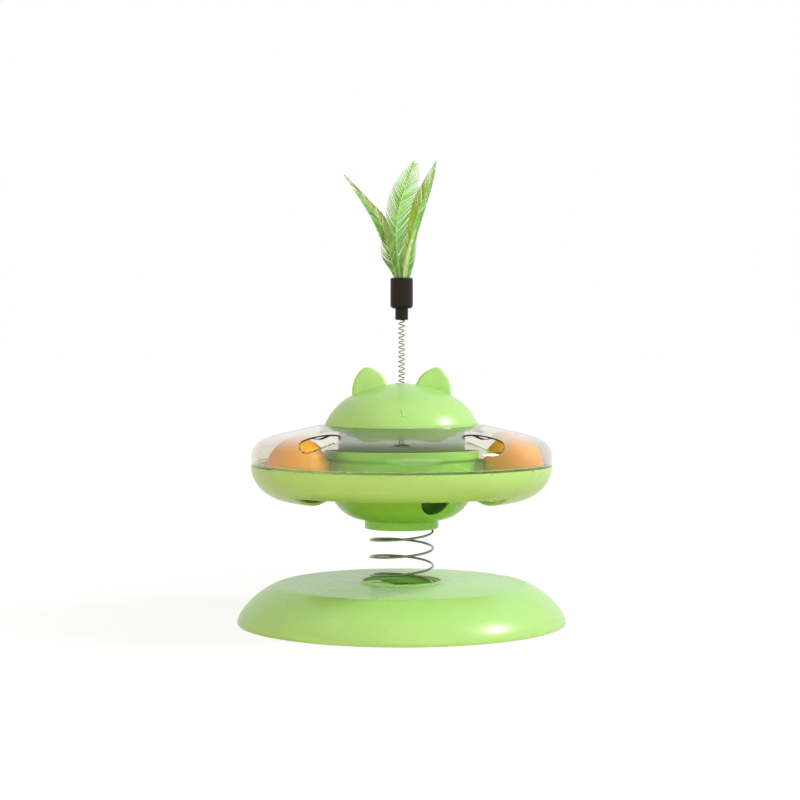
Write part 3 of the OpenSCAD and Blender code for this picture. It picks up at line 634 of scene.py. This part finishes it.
def flank(mid_r, half_w, height):
    """A quarter of an ellipse that hangs from the seam, from its lowest point outwards."""
    angles = [math.pi / 2 * i / CURVE_STEPS for i in range(CURVE_STEPS + 1)]
    return [(mid_r + half_w * math.sin(a), SEAM_Z - height * math.cos(a)) for a in angles]


def flank_r(mid_r, half_w, height, z):
    """The radius of such an ellipse at a height."""
    return mid_r + half_w * math.sqrt(max(0.0, 1 - ((SEAM_Z - z) / height) ** 2))


def lobe_skin(inset, top_z):
    """A lobe's section below a height: a soft slope to the deepest line, then a rounded side."""
    lift = 0.4 * TRAY_WALL
    points = []
    for i in range(CURVE_STEPS):
        s = i / CURVE_STEPS
        fall = (LOBE_DROP + lift) * (1 - math.cos(math.pi * s)) / 2
        points.append((TRACK_R - LOBE_SLOPE_W * (1 - s), min(top_z, TRAY_Z + inset + lift - fall)))
    half_w = TRAY_R - TRACK_R - inset - 0.05
    height = TRAY_H + LOBE_DROP - inset
    points += [p for p in flank(TRACK_R, half_w, height) if p[1] < top_z - 0.05]
    return points + [(flank_r(TRACK_R, half_w, height, top_z), top_z)]


tray_hole_r = outer_side[-1][0] + 0.25
tray = turned(
    [(tray_hole_r, TRAY_Z)] + flank(TRAY_FLAT_R, TRAY_R - TRAY_FLAT_R, TRAY_H)
    + flank(TRAY_FLAT_R, TRAY_R - TRAY_FLAT_R - TRAY_WALL, TRAY_H - TRAY_WALL)[::-1]
    + [(tray_hole_r, TRAY_FLOOR)],
    192,
)
for v in tray.verts:
    r, z = math.hypot(v.co.x, v.co.y) / MM, v.co.z / MM
    skin_r = flank_r(TRAY_FLAT_R, TRAY_R - TRAY_FLAT_R, TRAY_H, z)
    if r > TRAY_FLAT_R - 0.1 and abs(r - skin_r) < 0.02:
        off_side = abs(math.degrees(math.atan2(abs(v.co.y), abs(v.co.x))))
        swell = min(1.0, max(0.0, (LOBE_HALF_ARC + 7 - off_side) / 9))
        swell = swell * swell * (3 - 2 * swell)
        lobe_r = flank_r(TRACK_R, TRAY_R - TRACK_R, TRAY_H + LOBE_DROP, z)
        grow = 1 + swell * (lobe_r - skin_r) / skin_r
        v.co.x, v.co.y = v.co.x * grow, v.co.y * grow
for side in (0, 180):
    tray = cut(tray, swept(lobe_skin(0, TRAY_Z + 0.9), side, 2 * LOBE_HALF_ARC), "UNION")
pocket = [(TRACK_R - 10.2, TRAY_Z - 0.2), (TRACK_R + 10.2, TRAY_Z - 0.2), (TRACK_R + 13.7, TRAY_FLOOR + 1),
          (TRACK_R - 13.7, TRAY_FLOOR + 1)]
for side in (0, 180):
    tray = cut(tray, swept(lobe_skin(GUTTER_WALL, TRAY_Z + 0.2), side, 2 * LOBE_HALF_ARC + 2))
    tray = cut(tray, swept(pocket, side, 2 * POCKET_HALF_ARC))
notches = bmesh.new()
for i in range(16):
    spot = Matrix.Rotation(TURN * (i + 0.5) / 16, 4, "Z") @ Matrix.Translation((TRAY_R * MM, 0, SEAM_Z * MM))
    bmesh.ops.create_cube(notches, size=1, matrix=spot @ Matrix.Diagonal((1.8 * MM, 3 * MM, 1.4 * MM, 1)))
piece("ball_dish", cut(tray, notches), light_green, "head", ["ball_tray"], 32)

# %% [markdown]
# ## The clear cover
#
# The cover's wall goes up from the seam, over a round shoulder and up a shallow cone to the collar
# that carries the lid. It is drawn thinner than on the drawing, because a thick shoulder bends the
# view of the bin. Four paw holes are cut straight down. Their edges are bevelled by a modifier, because
# round edges are what makes a clear moulding visible at all.

# %% Track cover
COVER_WALL = 0.9
COVER_SIDE = 4.8
COVER_SHOULDER_R = 77.95
COVER_SHOULDER_Z = 113.9
COVER_TURN_Z = 110.8
COVER_LIP_R = 89.27
COLLAR_R = 50.05
COLLAR_TOP = 120.3
LEDGE_R = 43.4
SEAT_Z = 118.2
LID_SEAT_R = 46.9
PAW_R = 12.2
PAW_RING_R = 76.95
PAW_HEADINGS = (52.3, 127.7, 232.3, 307.7)


def cover_skin(inset):
    """The round shoulder from the upright side to the cone, which it meets without a kink."""
    side = Vector((TRAY_R - inset, SEAM_Z + COVER_SIDE))
    turn = Vector((TRAY_R - inset, COVER_TURN_Z - 0.8 * inset))
    cone = Vector((COVER_SHOULDER_R - 0.22 * inset, COVER_SHOULDER_Z - 0.97 * inset))
    shares = [i / CURVE_STEPS for i in range(CURVE_STEPS + 1)]
    return [tuple((1 - s) ** 2 * side + 2 * s * (1 - s) * turn + s * s * cone) for s in shares]


cover = turned(
    [(TRAY_R - 0.1, SEAM_Z - 0.05)] + cover_skin(0)
    + [(COLLAR_R, COLLAR_TOP), (LID_SEAT_R, COLLAR_TOP), (LID_SEAT_R, SEAT_Z), (LEDGE_R, SEAT_Z),
       (LEDGE_R, SEAT_Z - 2), (COLLAR_R + 0.6, SEAT_Z - 2), (COLLAR_R + 1.2, COLLAR_TOP - COVER_WALL - 0.3)]
    + cover_skin(COVER_WALL)[::-1]
    + [(TRAY_R - COVER_WALL, SEAM_Z + 1.8), (COVER_LIP_R - COVER_WALL, SEAM_Z),
       (COVER_LIP_R - COVER_WALL, SEAM_Z - 3), (COVER_LIP_R, SEAM_Z - 3), (COVER_LIP_R, SEAM_Z - 0.05)],
    192,
)
paws = bmesh.new()
for heading in PAW_HEADINGS:
    spot = Matrix.Rotation(math.radians(heading), 4, "Z")
    spot = spot @ Matrix.Translation((PAW_RING_R * MM, 0, (SEAM_Z + COVER_SIDE + 12) * MM))
    bmesh.ops.create_cone(
        paws, cap_ends=True, segments=96, radius1=PAW_R * MM, radius2=PAW_R * MM, depth=24 * MM, matrix=spot
    )
track_cover = piece("clear_hood", cut(cover, paws), clear_cover, "head", ["track_cover"], 30)
edge_round = track_cover.modifiers.new("edge_round", "BEVEL")
edge_round.width = 0.38 * MM
edge_round.segments = 3
edge_round.limit_method = "ANGLE"
edge_round.angle_limit = math.radians(50)

# %% [markdown]
# ## The balls
#
# A blown ball has a fine parting line where its two halves were welded. The outline of half a disc
# with a small step in it is spun, tilted so that the line runs at a slant, and moved to its pocket.


# %% Balls
def ball(heading, tilt):
    rim = []
    for i in range(65):
        a = math.pi * i / 64 - math.pi / 2
        groove = 0.1 * math.exp(-(a / 0.02) ** 2)
        rim.append(((BALL_R - groove) * max(0.0, math.cos(a)), (BALL_R - groove) * math.sin(a)))
    rim[0], rim[-1] = (0, -BALL_R), (0, BALL_R)
    bm = turned(rim, 96)
    place = Matrix.Rotation(math.radians(heading), 4, "Z") @ Matrix.Translation((TRACK_R * MM, 0, BALL_Z * MM))
    lean = Matrix.Rotation(math.radians(tilt), 4, Vector((0.6, 0.8, 0)))
    bmesh.ops.transform(bm, matrix=place @ lean, verts=bm.verts)
    return bm


piece("rattle_ball_left", ball(205, 64), ball_orange, "left_ball", ["ball_left"], 60)
piece("rattle_ball_right", ball(0, -52), ball_orange, "right_ball", ["ball_right"], 60)

# %% [markdown]
# ## The lid
#
# The lid is a domed cap on an upright lip. A true sphere would be too flat above the lip, so the
# arc is swelled there. The two ears are thick plates with a rounded edge: a flat grid is
# rolled round an ear's outline, its rings shrink over the front and the back edge, and both ends are
# filled. The foot of the plate is sunk in the dome's wall.

# %% Lid dome
LID_R = 46.65
LID_Z = 118.5
LIP_TOP = 120.9
LID_WALL = 2.2
LIP_IN_R = 44.9
DOME_R = 56.92
DOME_MID = 88.28
DOME_SWELL = 1.7
BUSH_HOLE_R = 4.05
lip_angle = math.asin(LID_R / DOME_R)


def dome_round(angle):
    """The dome's radius about its middle, at an angle from the upright axis."""
    return DOME_R + DOME_SWELL * math.sin(math.pi * min(1.0, max(0.0, angle / lip_angle)) ** 2)


def dome_arc(inset, from_r, to_r):
    """Points along the dome from one radius in to another, one wall thickness in for the inside."""
    a, b = math.asin(from_r / (DOME_R - inset)), math.asin(to_r / (DOME_R - inset))
    angles = [a + (b - a) * i / CURVE_STEPS for i in range(CURVE_STEPS + 1)]
    rounds = [dome_round(t) - inset for t in angles]
    return [(q * math.sin(t), DOME_MID + q * math.cos(t)) for q, t in zip(rounds, angles)]


lid_outline = [(LIP_IN_R, LID_Z)]
lid_outline += eased([(LIP_IN_R, LID_Z, 0), (LID_R, LID_Z, 0.7), (LID_R, LIP_TOP, 0)])[1:-1]
lid_outline += dome_arc(0, LID_R, BUSH_HOLE_R) + dome_arc(LID_WALL, BUSH_HOLE_R, 43.8) + [(LIP_IN_R, LIP_TOP)]
lid = turned(lid_outline, 160)


def warped(across, along, form, bm=None, dye_and_shade=None):
    """A grid whose points are placed by form(u, v), with u and v from 0 to 1; seams are merged."""
    bm = bm or bmesh.new()
    layer = None
    if dye_and_shade:
        layer = bm.verts.layers.float_color.get("dye_and_shade") or bm.verts.layers.float_color.new("dye_and_shade")
    made = bmesh.ops.create_grid(bm, x_segments=across, y_segments=along, size=1)["verts"]
    for v in made:
        share = (v.co.x + 1) / 2, (v.co.y + 1) / 2
        v.co = Vector(form(*share)) * MM
        if layer:
            v[layer] = dye_and_shade(*share)
    bmesh.ops.remove_doubles(bm, verts=made, dist=1e-7)
    return bm


def through(points, t):
    """A smooth curve through all the given points, with t from 0 to 1."""
    span = min(max(t, 0.0), 1.0) * (len(points) - 1)
    i = min(int(span), len(points) - 2)
    f = span - i
    p, q = Vector(points[i]), Vector(points[i + 1])
    before = Vector(points[i - 1]) if i else p
    after = Vector(points[i + 2]) if i + 2 < len(points) else q
    bend = (2 * before - 5 * p + 4 * q - after) * f + (3 * p - before - 3 * q + after) * f * f
    return 0.5 * (2 * p + ((q - before) + bend) * f)


EAR_HALF_T = 4.8
EAR_ROUND = 2.0
EAR_MIDDLE = Vector((19.8, 144.0))
EAR_OUTLINE = [
    (29.4, 135.4), (30.1, 138.4), (29.8, 143.4), (28.5, 147.9), (26.4, 151.6), (23.9, 154.2), (21.3, 155.2),
    (18.7, 154.6), (14.6, 152.6), (11.3, 149.6), (9.5, 146.4), (8.2, 143.2), (14.0, 141.4), (22.0, 138.6),
    (29.4, 135.4),
]


def ear(side):
    stations = []
    for i in range(7):
        a = math.pi / 2 * i / 6
        stations.append((EAR_HALF_T - EAR_ROUND * (1 - math.sin(a)), EAR_ROUND * (1 - math.cos(a))))
    stations = [(-y, inset) for y, inset in stations[::-1]] + stations

    def form(u, v):
        y, inset = stations[round(v * (len(stations) - 1))]
        edge = through(EAR_OUTLINE, u)
        spot = EAR_MIDDLE + (edge - EAR_MIDDLE) * (1 - inset / 11)
        thin = 1 - 0.3 * max(0.0, (spot.y - 142) / 13)
        return side * spot.x, y * thin, spot.y
    bm = warped(84, len(stations) - 1, form)
    bmesh.ops.holes_fill(bm, edges=[e for e in bm.edges if e.is_boundary])
    bmesh.ops.recalc_face_normals(bm, faces=bm.faces)
    return bm


for side in (-1, 1):
    add(lid, ear(side))

# %% [markdown]
# The lid's front has two tiny eyes and a little nose and mouth, raised by less than a millimetre.
# They could be drawn in the material, but then the mesh file would not have them, so each is a thin
# tube or pad laid on the dome. The tube comes from the same rolled grid as the ears.


# %% Face on the lid
def on_dome(x, z, lift=0.0):
    """The point on the dome's front at a given side step and height."""
    r = DOME_R
    for _ in range(4):
        r = dome_round(math.acos((z - DOME_MID) / r)) + lift
    return Vector((x, -math.sqrt(r * r - (z - DOME_MID) ** 2 - x * x), z))


def tube(path, radius, rings, sides, bm=None, dye_and_shade=None):
    """A round skin along path(t), with a radius that may change; closed at both ends."""
    def form(u, v):
        t = min(1.0, max(0.0, (v * (rings + 2) - 1) / rings))
        here = Vector(path(t))
        run = (Vector(path(min(1.0, t + 0.01))) - Vector(path(max(0.0, t - 0.01)))).normalized()
        out = run.cross(Vector((0, 1, 0))).normalized() if abs(run.y) < 0.9 else run.orthogonal().normalized()
        up = run.cross(out)
        r = radius(t) if 0.5 / (rings + 2) < v < 1 - 0.5 / (rings + 2) else 0.0
        return here + r * (math.cos(TURN * u) * out + math.sin(TURN * u) * up)
    return warped(sides, rings + 2, form, bm, dye_and_shade)


def facing_out(bm):
    bmesh.ops.recalc_face_normals(bm, faces=bm.faces)
    return bm


FACE_X = 0.6
FACE_Z = 127.9


def mouth_line(side):
    def path(t):
        return on_dome(FACE_X + side * 3.6 * math.sin(math.pi / 2 * t), FACE_Z - 0.6 - 2.8 * t ** 1.7, -0.2)
    return path


for side in (-1, 1):
    add(lid, facing_out(tube(mouth_line(side), lambda t: 0.5 * (1 - 0.5 * t), 12, 10)))
    eye = bmesh.new()
    spot = Matrix.Translation(on_dome(side * 13.9 + 0.2, 136.4, -0.5) * MM)
    bmesh.ops.create_uvsphere(eye, u_segments=20, v_segments=12, radius=0.95 * MM, matrix=spot)
    add(lid, eye)
add(lid, facing_out(tube(lambda t: on_dome(FACE_X + 4.6 * (t - 0.5), FACE_Z + 2.4, -0.35),
                         lambda t: 0.95 * math.sin(math.pi * (0.12 + 0.76 * t)), 14, 14)))
add(lid, facing_out(tube(lambda t: on_dome(FACE_X, FACE_Z + 2.3 - 3.0 * t, -0.2),
                         lambda t: 0.75 - 0.3 * t, 8, 10)))
piece("eared_lid", lid, light_green, "lid", ["lid_dome"], 42)

# %% [markdown]
# ## Plug and bush
#
# Under the lid a ring drops into the collar and keeps the treats in; it is coloured a very dark
# green, which is painted shade of the closed bin's inside. On the lid's top a small bush grips the
# foot of the teaser's spring. Both are turned from short outlines.

# %% Plug and bush
PLUG_R = 38.55
PLUG_WALL = 2
PLUG_FOOT = 106.4
FLANGE_R = 44.65
plug = turned(eased([
    (PLUG_R - PLUG_WALL, PLUG_FOOT, 0.4), (PLUG_R, PLUG_FOOT, 0.5), (PLUG_R, LID_Z, 0.3),
    (FLANGE_R, LID_Z, 0), (FLANGE_R, LIP_TOP, 0), (PLUG_R - PLUG_WALL, LIP_TOP, 0),
], 3), 128)
for i in range(3):
    lug = [(PLUG_R - 1, 116.2), (43.05, 116.2), (43.05, 119.4), (PLUG_R - 1, 119.4)]
    add(plug, soften(swept(lug, 90 + 120 * i, 24, 12), 0.3))
# The ring's very dark green is painted shade of the closed bin's inside.
piece("lid_ring", plug, painted_shade_green, "lid", ["lid_plug"])
bush = turned(eased([
    (0, 141.4, 0), (3.8, 141.4, 0.3), (3.8, 144.9, 0), (4.6, 144.9, 0), (4.6, 145.3, 0.3), (3.6, 145.7, 0.5),
    (2.4, 145.7, 0.3), (2.4, 142.4, 0), (0, 142.4, 0),
], 3), 64)
piece("teaser_grommet", bush, light_green, "lid", ["teaser_bush"])

# %% [markdown]
# ## The teaser
#
# A thin spring carries a dark connector in two steps, and the feathers stand in its upper end. The
# spring bends along its whole length when the teaser sways; everything above it rides on the teaser.

# %% Teaser spring and connector
WAND_R = 1.75
WAND_WIRE_R = 0.35
WAND_FOOT = 142.4
WAND_TOP = 187.9
WAND_TURNS = 15.5
wand_climb = WAND_TOP - WAND_FOOT - 2 * WAND_WIRE_R
teaser_coil = piece(
    "teaser_coil",
    coil(WAND_R, WAND_WIRE_R, WAND_FOOT + WAND_WIRE_R, 0, [(WAND_TURNS, wand_climb / WAND_TURNS)], 10, 32),
    spring_wire, None, ["teaser_spring"],
)
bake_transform(teaser_coil)

FERRULE_R = 3.9
FERRULE_Z = 183.9
BARREL_R = 6.85
BARREL_Z = 190.9
BARREL_TOP = 209.5
BARREL_FLOOR = 202.5
ferrule = turned(eased([
    (2.4, FERRULE_Z, 0.4), (FERRULE_R, FERRULE_Z, 0.9), (FERRULE_R, 195.9, 0), (0, 195.9, 0), (0, WAND_TOP, 0),
    (2.4, WAND_TOP, 0),
]), 64)
piece("teaser_ferrule", ferrule, brown_black, "teaser", ["spring_ferrule"])
barrel = turned(eased([
    (FERRULE_R + 0.25, BARREL_Z, 0.3), (BARREL_R - 1.4, BARREL_Z, 0.5), (BARREL_R, BARREL_Z + 1.2, 0.7),
    (BARREL_R, BARREL_TOP, 1.1), (4.2, BARREL_TOP, 0.8), (4.2, BARREL_FLOOR, 0), (0, BARREL_FLOOR, 0),
    (0, 195.9, 0), (FERRULE_R + 0.25, 195.9, 0),
]), 80)
piece("teaser_barrel", barrel, brown_black, "teaser", ["feather_socket"])

# %% [markdown]
# ## Dyed feathers
#
# A feather is a tapering shaft with a row of fine barbs on each side, which cling together into a
# vane and split here and there. A flat leaf with a drawn pattern would look like paper, so each barb
# is a narrow strip of its own, laid like a shingle over the next. Its colour, mostly dye but painted
# shade in one row of the left plume, is kept in an attribute of the mesh, because the colour runs
# along the barbs and a pattern in space would not.


# %% Feather finish
def dyed_and_shaded_feather(name, slot):
    finish = Finish(name, slot)
    dye_and_shade = finish.node("ShaderNodeAttribute", {"attribute_name": "dye_and_shade"}, out="Color")
    fleck = finish.noise(700.0, 3.0)
    streak = finish.mix(0.12 * fleck, dye_and_shade, (0.9, 0.95, 0.75, 1))
    shader = finish.principled(
        Base_Color=streak, Roughness=0.5 + 0.2 * fleck, Sheen_Weight=0.15, Sheen_Roughness=0.4,
        Specular_IOR_Level=0.25,
    )
    return finish.surface(shader)


feather_dye_and_shade = dyed_and_shaded_feather("feather_dye_and_shade", "feather")


def between(a, b, share):
    return tuple(p + (q - p) * share for p, q in zip(a, b))


# %% Feather maker
def feather(shaft, halves, facing, dyes_and_shade, pale, seed, barbs=96):
    """A shaft through the given points, with a row of barbs on each side of it.

    halves are (left, right) half widths spread evenly along the shaft, facing is the heading of the
    right side, the colours that follow are (root, tip) pairs for the left and the right row, dye except
    for painted shade in one row of the left plume, and pale is the share of bleached barbs in each row.
    """
    rng = random.Random(seed)
    length = sum((Vector(b) - Vector(a)).length for a, b in zip(shaft, shaft[1:]))
    face = Vector((math.cos(math.radians(facing)), math.sin(math.radians(facing)), 0))
    stem = shade(between(dyes_and_shade[1][0], BLEACHED, 0.35), 1)
    bm = tube(lambda t: through(shaft, t), lambda t: 0.6 * (1 - 0.8 * t), 32, 8, None, lambda u, v: stem)
    for row, sign in ((0, -1), (1, 1)):
        split = 0.0
        for i in range(barbs):
            tip_t = 0.1 + 0.9 * (i + 0.7) / barbs
            if rng.random() < 0.07:
                split = rng.uniform(-0.012, 0.012)
            wide = through(halves, tip_t)[row] * rng.uniform(0.95, 1.03)
            root_t = max(0.02, tip_t - (0.35 + 1.25 * wide) / length + split)
            half = 0.45 / barbs
            lift = (0.12 + 0.02 * wide) * (-1) ** i + rng.uniform(-0.05, 0.05)
            tone = rng.uniform(0.8, 1.18)
            run = (through(shaft, min(1.0, tip_t)) - through(shaft, root_t)).normalized()
            across = (face - face.dot(run) * run).normalized() * sign
            normal = run.cross(across) * sign
            near, far = dyes_and_shade[row]
            if rng.random() < pale[row]:
                near, far = between(near, BLEACHED, 0.45), between(far, BLEACHED, 0.7)

            def form(u, v, root_t=root_t, tip_t=tip_t, wide=wide, half=half, lift=lift, across=across,
                     normal=normal):
                t = root_t + (tip_t - root_t) * v ** 1.25 + (u - 0.5) * 2 * half * (1.7 - 1.2 * v)
                out = 0.15 + wide * v
                cup = 0.1 * wide * math.sin(math.pi * 0.9 * v)
                return through(shaft, t) + across * out + normal * (lift * (u - 0.5) * 2 - cup)

            def dye_and_shade(u, v, near=near, far=far, tone=tone):
                return shade(between(near, far, v), tone * (1.05 - 0.1 * u))
            warped(1, 5, form, bm, dye_and_shade)
    return bm


# %% [markdown]
# Three long feathers stand in the barrel and two short ones hug their feet. Each leans its own way:
# the middle one shows its broad face, and the outer two are turned nearly edge-on. A row's colour runs
# from the shaft to the tips of its barbs; the right row of the left plume is olive, a painted shade of
# that half of its folded vane.

# %% Feathers
BLEACHED = (0.82, 0.93, 0.66)
PALE = (0.46, 0.88, 0.3)
FRESH = (0.18, 0.52, 0.07)
DEEP = (0.1, 0.34, 0.035)
LIME = (0.38, 0.62, 0.1)
# An olive used as painted shade for the right row of the left plume.
OLIVE_SHADE = (0.27, 0.4, 0.05)

feathers = {
    "plume_left": ("feather_left", feather(
        [(-2.4, 0.4, 202.75), (-4.2, 0.3, 217), (-7.6, 0.2, 231), (-13.6, 0, 244.5), (-22.5, -0.2, 256.5),
         (-34.9, -0.4, 271.9)],
        [(0.6, 0.6), (2.8, 2.4), (7.3, 5.8), (7.5, 6.8), (4.8, 4.2), (0.4, 0.3)], 55,
        # The olive right row is painted shade of that half of the folded vane.
        ((FRESH, FRESH), (OLIVE_SHADE, OLIVE_SHADE)), (0.22, 0.06), 3)),
    "plume_middle": ("feather_middle", feather(
        [(0, 2.2, 202.75), (-2.0, 2.8, 218), (-3.5, 3.6, 236), (-1.2, 5.2, 253.5), (3.4, 7.3, 268),
         (8.0, 9.8, 280.9)],
        [(0.8, 0.8), (2.6, 4.0), (5.4, 7.0), (7.6, 9.2), (6.2, 7.6), (0.8, 2.4)], 2,
        ((FRESH, PALE), (PALE, PALE)), (0.3, 0.06), 5)),
    "plume_right": ("feather_right", feather(
        [(2.4, 0.4, 202.75), (3.2, -0.6, 219), (6.2, -3.0, 236.5), (11.5, -5.2, 253.4), (17.2, -7.6, 267),
         (20.9, -9.4, 279.6)],
        [(0.8, 0.8), (4.5, 3.4), (5.6, 5.4), (8.8, 5.4), (7.2, 2.6), (0.4, 0.3)], 53,
        ((LIME, LIME), (FRESH, FRESH)), (0.04, 0.03), 7)),
    "fluff_left": ("feather_tuft_left", feather(
        [(-1.3, -2.4, 202.75), (-4.0, -4, 213), (-7.2, -6, 225), (-10.6, -7.5, 239.5)],
        [(0.6, 0.6), (2.2, 2.4), (5.6, 3.4), (0.7, 0.4)], -20,
        ((DEEP, DEEP), (DEEP, FRESH)), (0.34, 0.1), 11, 60)),
    "fluff_right": ("feather_tuft_right", feather(
        [(1.3, -2.4, 202.75), (3.2, -3.4, 213), (5.4, -4.6, 225), (9.0, -6.0, 239.5)],
        [(0.6, 0.6), (2.4, 2.8), (2.6, 3.2), (0.4, 0.3)], 10,
        ((PALE, BLEACHED), (FRESH, FRESH)), (0.4, 0.06), 13, 60)),
}
for name, (node, bm) in feathers.items():
    piece(name, bm, feather_dye_and_shade, "teaser", [node], 180)

# %% [markdown]
# ## Hidden pieces
#
# The bottom plate, the ballast, the feet and the screws have plain real shapes that the CAD model
# already holds. They are left as they are and only get their finish.

# %% Finishes for the CAD pieces
kept = {
    "base_floor": leaf_green, "base_ballast": plain_steel, "base_feet": foot_rubber,
    "base_screws": plain_steel, "cap_screws": plain_steel, "bin_screws": plain_steel,
}
for node, finish in kept.items():
    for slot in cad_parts[node].material_slots:
        slot.material = finish.material
print("CAD pieces kept:", ", ".join(kept))

# %% [markdown]
# ## Floor and light
#
# A product photo on white has a broad soft light and hardly any shadow. The floor is white where the
# camera, a mirror or clear plastic sees it, and keeps a part of the toy's shadow there; the light that
# it throws back up is warm, as from a peach-coloured table. The world is white in the same way, while
# its own light stays at a plain level. Of the lamps, only the key is mirrored as a highlight.

# %% Floor
floor_mesh = bmesh.new()
bmesh.ops.create_grid(floor_mesh, x_segments=1, y_segments=1, size=6)
ground = bpy.data.meshes.new("floor")
floor_mesh.to_mesh(ground)
floor_mesh.free()
floor_object = bpy.data.objects.new("floor", ground)
bpy.context.collection.objects.link(floor_object)
floor_object.location = (0, 0, -0.0002)
white_floor = Finish("white_floor", "floor")
seen = white_floor.seen_plainly()
paper = white_floor.principled(Base_Color=(0.9, 0.9, 0.9, 1), Roughness=0.9, Specular_IOR_Level=0.0)
glow = white_floor.node("ShaderNodeEmission", {}, {"Color": (1, 1, 1, 1), "Strength": 1.05})
table = white_floor.principled(Base_Color=(0.95, 0.66, 0.33, 1), Roughness=0.9, Specular_IOR_Level=0.0)
place = white_floor.node("ShaderNodeTexCoord", out="Object")
distance = white_floor.node("ShaderNodeVectorMath", {"operation": "LENGTH"}, {0: place}, out="Value")
reach = {"Value": distance, "From Min": 0.15, "From Max": 0.6, "To Min": 0.84, "To Max": 1.0}
even = white_floor.node("ShaderNodeMapRange", {}, reach)
white_floor.surface(white_floor.either(seen, table, white_floor.either(even, paper, glow)))
ground.materials.append(white_floor.material)
print("floor made")

# %% World and lamps
studio = Finish("studio", None, bpy.data.worlds.new("studio"))
bpy.context.scene.world = studio.material
heading = studio.node("ShaderNodeTexCoord", out="Generated")
height = studio.node("ShaderNodeSeparateXYZ", {}, {0: heading}, out="Z")
walls = studio.node("ShaderNodeBackground", {}, {"Color": (1, 0.93, 0.84, 1), "Strength": 0.58})
ceiling = studio.node("ShaderNodeBackground", {}, {"Color": (1, 0.93, 0.84, 1), "Strength": 0.22})
backdrop = studio.node("ShaderNodeBackground", {}, {"Color": (1, 1, 1, 1), "Strength": 1.0})
fill = studio.either(height | 0.0, walls, ceiling)
studio.surface(studio.either(studio.seen_plainly(), fill, backdrop), "ShaderNodeOutputWorld")


def lamp(name, place, size, power, colour=(1, 1, 1), mirrored=False):
    """A soft round lamp; only a mirrored one shows as a highlight."""
    light = bpy.data.lights.new(name, "AREA")
    light.shape = "DISK"
    light.size = size
    light.energy = power
    light.color = colour
    made = bpy.data.objects.new(name, light)
    made.location = place
    made.rotation_euler = (Vector((0, 0, 0.1)) - Vector(place)).to_track_quat("-Z", "Y").to_euler()
    made.visible_glossy = mirrored
    bpy.context.collection.objects.link(made)
    return made


lamp("key", (1.08, -0.13, 0.98), 0.27, 11.2, mirrored=True)
lamp("front", (0.25, -1.5, 0.8), 1.2, 10.8)
lamp("low_left", (-1.1, -0.8, 0.15), 0.8, 3.7, (1, 0.7, 0.34))
bpy.context.scene.view_settings.view_transform = "Standard"
print("lamps and world made")
